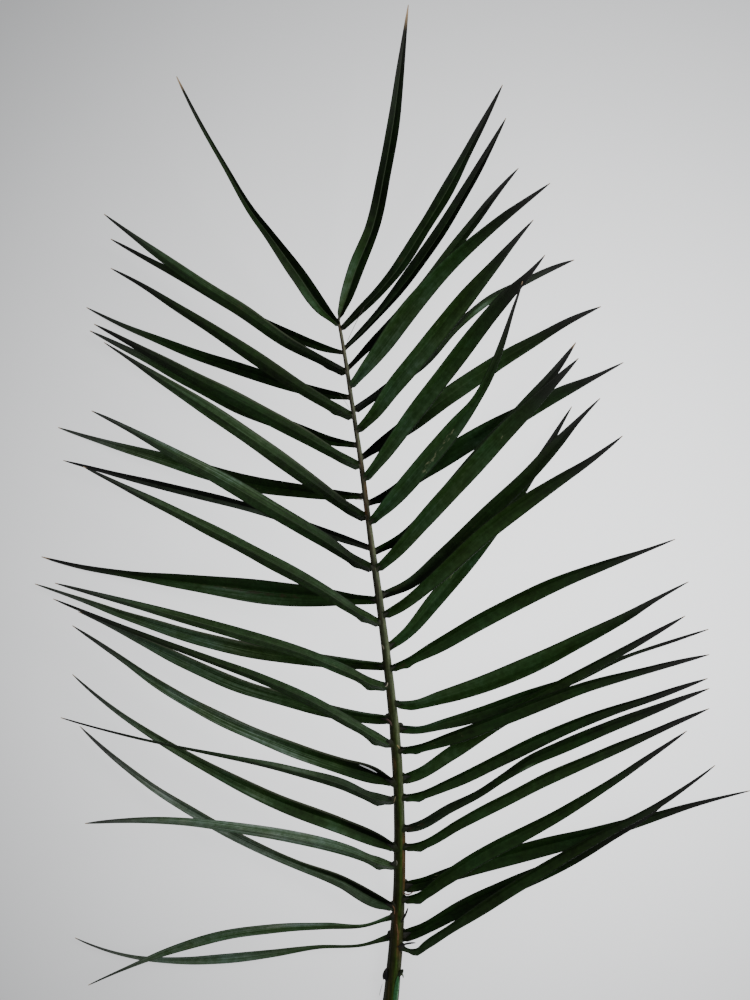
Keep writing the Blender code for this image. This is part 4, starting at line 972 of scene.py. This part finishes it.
def collar(number):
    """A leaflet's collar: its breadth falls from the flare on the rachis to the blade's
    as exp(-way out / reach), and its colour goes from the rachis' to dark.
    """
    _, row, _, _, tip_height, *points = LEAFLETS[number - 1]
    _, seen, path, width = blade_path(row, tip_height, points)
    gone = length_along(path)
    rachis_width = rachis_at(seen[0, 1])[1]
    size = min(0.25 + 0.75 * rachis_width / FULL_COLLAR_AT, 1)
    edge = way_to_edge(seen, gone)
    kind = REAR_COLLAR if row == REAR else WEBBED_COLLAR if number in WEBBED else FRONT_COLLAR
    length, reach, share = kind
    way = np.linspace(0, edge + length * size, COLLAR_RINGS)
    line = np.stack([np.interp(way, gone, path[:, k]) for k in range(3)], axis=1)
    out = np.clip((way - edge * 0.92) / (reach * size), 0, None)
    flare = np.exp(-out) * share * min(width.max() / 7, 1) * rachis_width
    line[:, 1] += 0.15 * flare * ease(way / edge)
    end = np.sqrt(np.clip((way[-1] - way) / (length * size), 0.02, 1))
    breadth = (COLLAR_HALF * size + flare) * end
    height = np.minimum(COLLAR_HEIGHT * size + 0.4 * flare, 0.4 * rachis_width) * end
    rings = tube(line, breadth, height, COLLAR_SIDES)
    grey = COLLAR_GREY * (0.3 + 0.7 * np.sin(3.1 * number) ** 2)
    fade = ease(way / edge - 0.3)[:, None, None]
    dark = COLLAR_DARK + (grey - COLLAR_DARK) * np.exp(-out)[:, None, None]
    colours = COLLAR_SKIN * skin_at(seen[0, 1]) * (1 - fade) + dark * fade
    return rings, np.broadcast_to(colours, rings.shape)


# Bits: breadth and height in mm, colour, then their way as seen x, y and height in mm.
BITS = (
    # The dark bud left of the stalk, the torn stub on its right and the peeled strip.
    (1.6, 1.5, (0.0050, 0.0046, 0.0046), (9.5, 11, 5.6), (7.2, 13.0, 6.6), (6.5, 16.5, 7.0),
     (7.4, 19.4, 6.4)),
    (0.9, 0.8, (0.0140, 0.0125, 0.0110), (7.6, 19.0, 7.4), (5.4, 15.6, 7.4), (5.4, 12.2, 6.2)),
    (1.5, 1.3, (0.0140, 0.0200, 0.0090), (11.5, 13, 7.2), (14.6, 15.6, 8.2), (16.8, 18.6, 8.8)),
    (0.5, 0.4, (0.0700, 0.0900, 0.0450), (14.4, 14.6, 8.9), (16.0, 15.6, 9.4), (17.0, 13.2, 9.2)),
    (1.5, 0.4, (0.0300, 0.1150, 0.0400), (13.9, 14.5, 10.2), (13.1, 8, 9.6), (12.0, 0, 8.6), (11.0, -9, 7.2)),
    (0.5, 0.3, (0.1300, 0.2600, 0.1500), (14.6, 13, 10.2), (13.9, 7, 9.6), (12.9, -1, 8.5), (12.4, -6, 7.6)),
    # Spines by the lowest leaflets, and a pinkish filament under one of them.
    (0.66, 0.60, (0.0110, 0.0100, 0.0090), (15.6, 46.5, 13.0), (17.6, 50, 15.0), (19.8, 55.5, 17.5)),
    (0.62, 0.55, (0.0120, 0.0110, 0.0110), (13.5, 31.8, 12.0), (18.0, 33.6, 12.8), (24.5, 34.4, 13.4)),
    (0.40, 0.34, (0.1100, 0.0500, 0.0380), (16.4, 65.2, 15.6), (19.6, 63.4, 16.2), (23.2, 65.6, 16.4)),
    # Curled fibres and pale scars at some joints.
    (0.40, 0.25, (0.2600, 0.2100, 0.1000), (11.4, 154.6, 26.4), (13.4, 152.8, 27.0), (14.9, 150.6, 26.6)),
    (0.36, 0.25, (0.3600, 0.3300, 0.2500), (5.2, 188.0, 29.6), (7.0, 188.6, 30.2), (7.6, 190.6, 30.4)),
    (0.60, 0.35, (0.0720, 0.0450, 0.0360), (6.6, 168.6, 28.6), (8.8, 167.2, 29.6), (10.0, 164.4, 29.6)),
    (0.34, 0.24, (0.2600, 0.2400, 0.1900), (-12.0, 300.2, 27.4), (-9.0, 300.4, 28.4), (-7.0, 299.6, 28.8)),
    (0.32, 0.25, (0.1600, 0.1400, 0.1000), (4.0, 213.2, 29.4), (5.0, 211.8, 30.0), (5.2, 210.2, 29.8)),
    (0.28, 0.22, (0.1500, 0.1200, 0.0700), (12.6, 122.4, 26.2), (11.8, 120.4, 26.4), (11.4, 118.2, 26.0)),
    (0.34, 0.24, (0.1100, 0.1050, 0.0800), (12.4, 84.0, 21.0), (13.2, 82.6, 21.6), (12.8, 80.8, 21.4)),
    (0.30, 0.24, (0.1700, 0.0800, 0.0400), (10.4, 57.0, 16.6), (11.6, 54.8, 17.4), (11.4, 51.4, 17.0)),
    (0.30, 0.24, (0.1700, 0.0850, 0.0420), (13.0, 46.0, 16.4), (13.6, 41.0, 16.2), (13.8, 35.6, 15.2)),
    # A pale grey streak beside a fold near a left joint.
    (0.42, 0.12, (0.5500, 0.5600, 0.5700), (-9.4, 141.2, 26.6), (-4.4, 139.2, 27.0), (1.2, 136.4, 26.8)),
    # Loose threads.
    (0.15, 0.15, (0.0800, 0.0720, 0.0640), (-17.5, 393, 30.0), (-13.0, 403, 36.0), (-6.0, 417, 42.0)),
    (0.10, 0.10, (0.1000, 0.0900, 0.0800), (-21.5, 363.5, 28.0), (-17.6, 358.5, 29.6), (-14.6, 353.5, 29.4)),
    (0.16, 0.14, (0.0600, 0.0560, 0.0400), (4.5, 10.0, 4.0), (3.4, 6.2, 2.6), (2.5, 2.5, 1.4)),
)
BIT_RINGS, BIT_SIDES = 14, 9


def bit(breadth, height, colour, *way):
    """A rod along a curve through its way, its ends rounded as 1 - |2 * share - 1| ** 2.4."""
    shares = np.linspace(0, 1, BIT_RINGS)
    x, y, z = curve_through(way, shares).T
    place = np.column_stack([true_place(np.stack([x, y], axis=1), z)[0], z])
    taper = np.sqrt(np.clip(1 - np.abs(2 * shares - 1) ** 2.4, 0.03, 1))
    rings = tube(place, breadth * taper, height * taper, BIT_SIDES)
    return rings, np.broadcast_to(colour, rings.shape)


joint_skin, add, link = shader_of("joint", 0.6, 0.15)
paint = add("Attribute", attribute_name="paint").outputs["Color"]
rough = noise_on(add("TexCoord").outputs["Object"], 700.0, 4.0, 0.6)
link(mixed(1.0, paint, range_of(rough, 0.3, 0.7, 0.62, 1.38), "MULTIPLY"), "Base Color")
link(bump_of(rough, 0.6, 0.0004), "Normal")

pieces = [collar(number) for number in range(1, len(LEAFLETS) + 1)] + [bit(*row) for row in BITS]
paints = np.concatenate([colours.reshape(-1, 3) for _, colours in pieces])
paints = np.column_stack([paints, np.ones(len(paints))])
shapes = [(rings, False) for rings, _ in pieces]
put_mesh("joints_and_stubs", *joined(shapes), {"paint": paints}, joint_skin, "stalk")
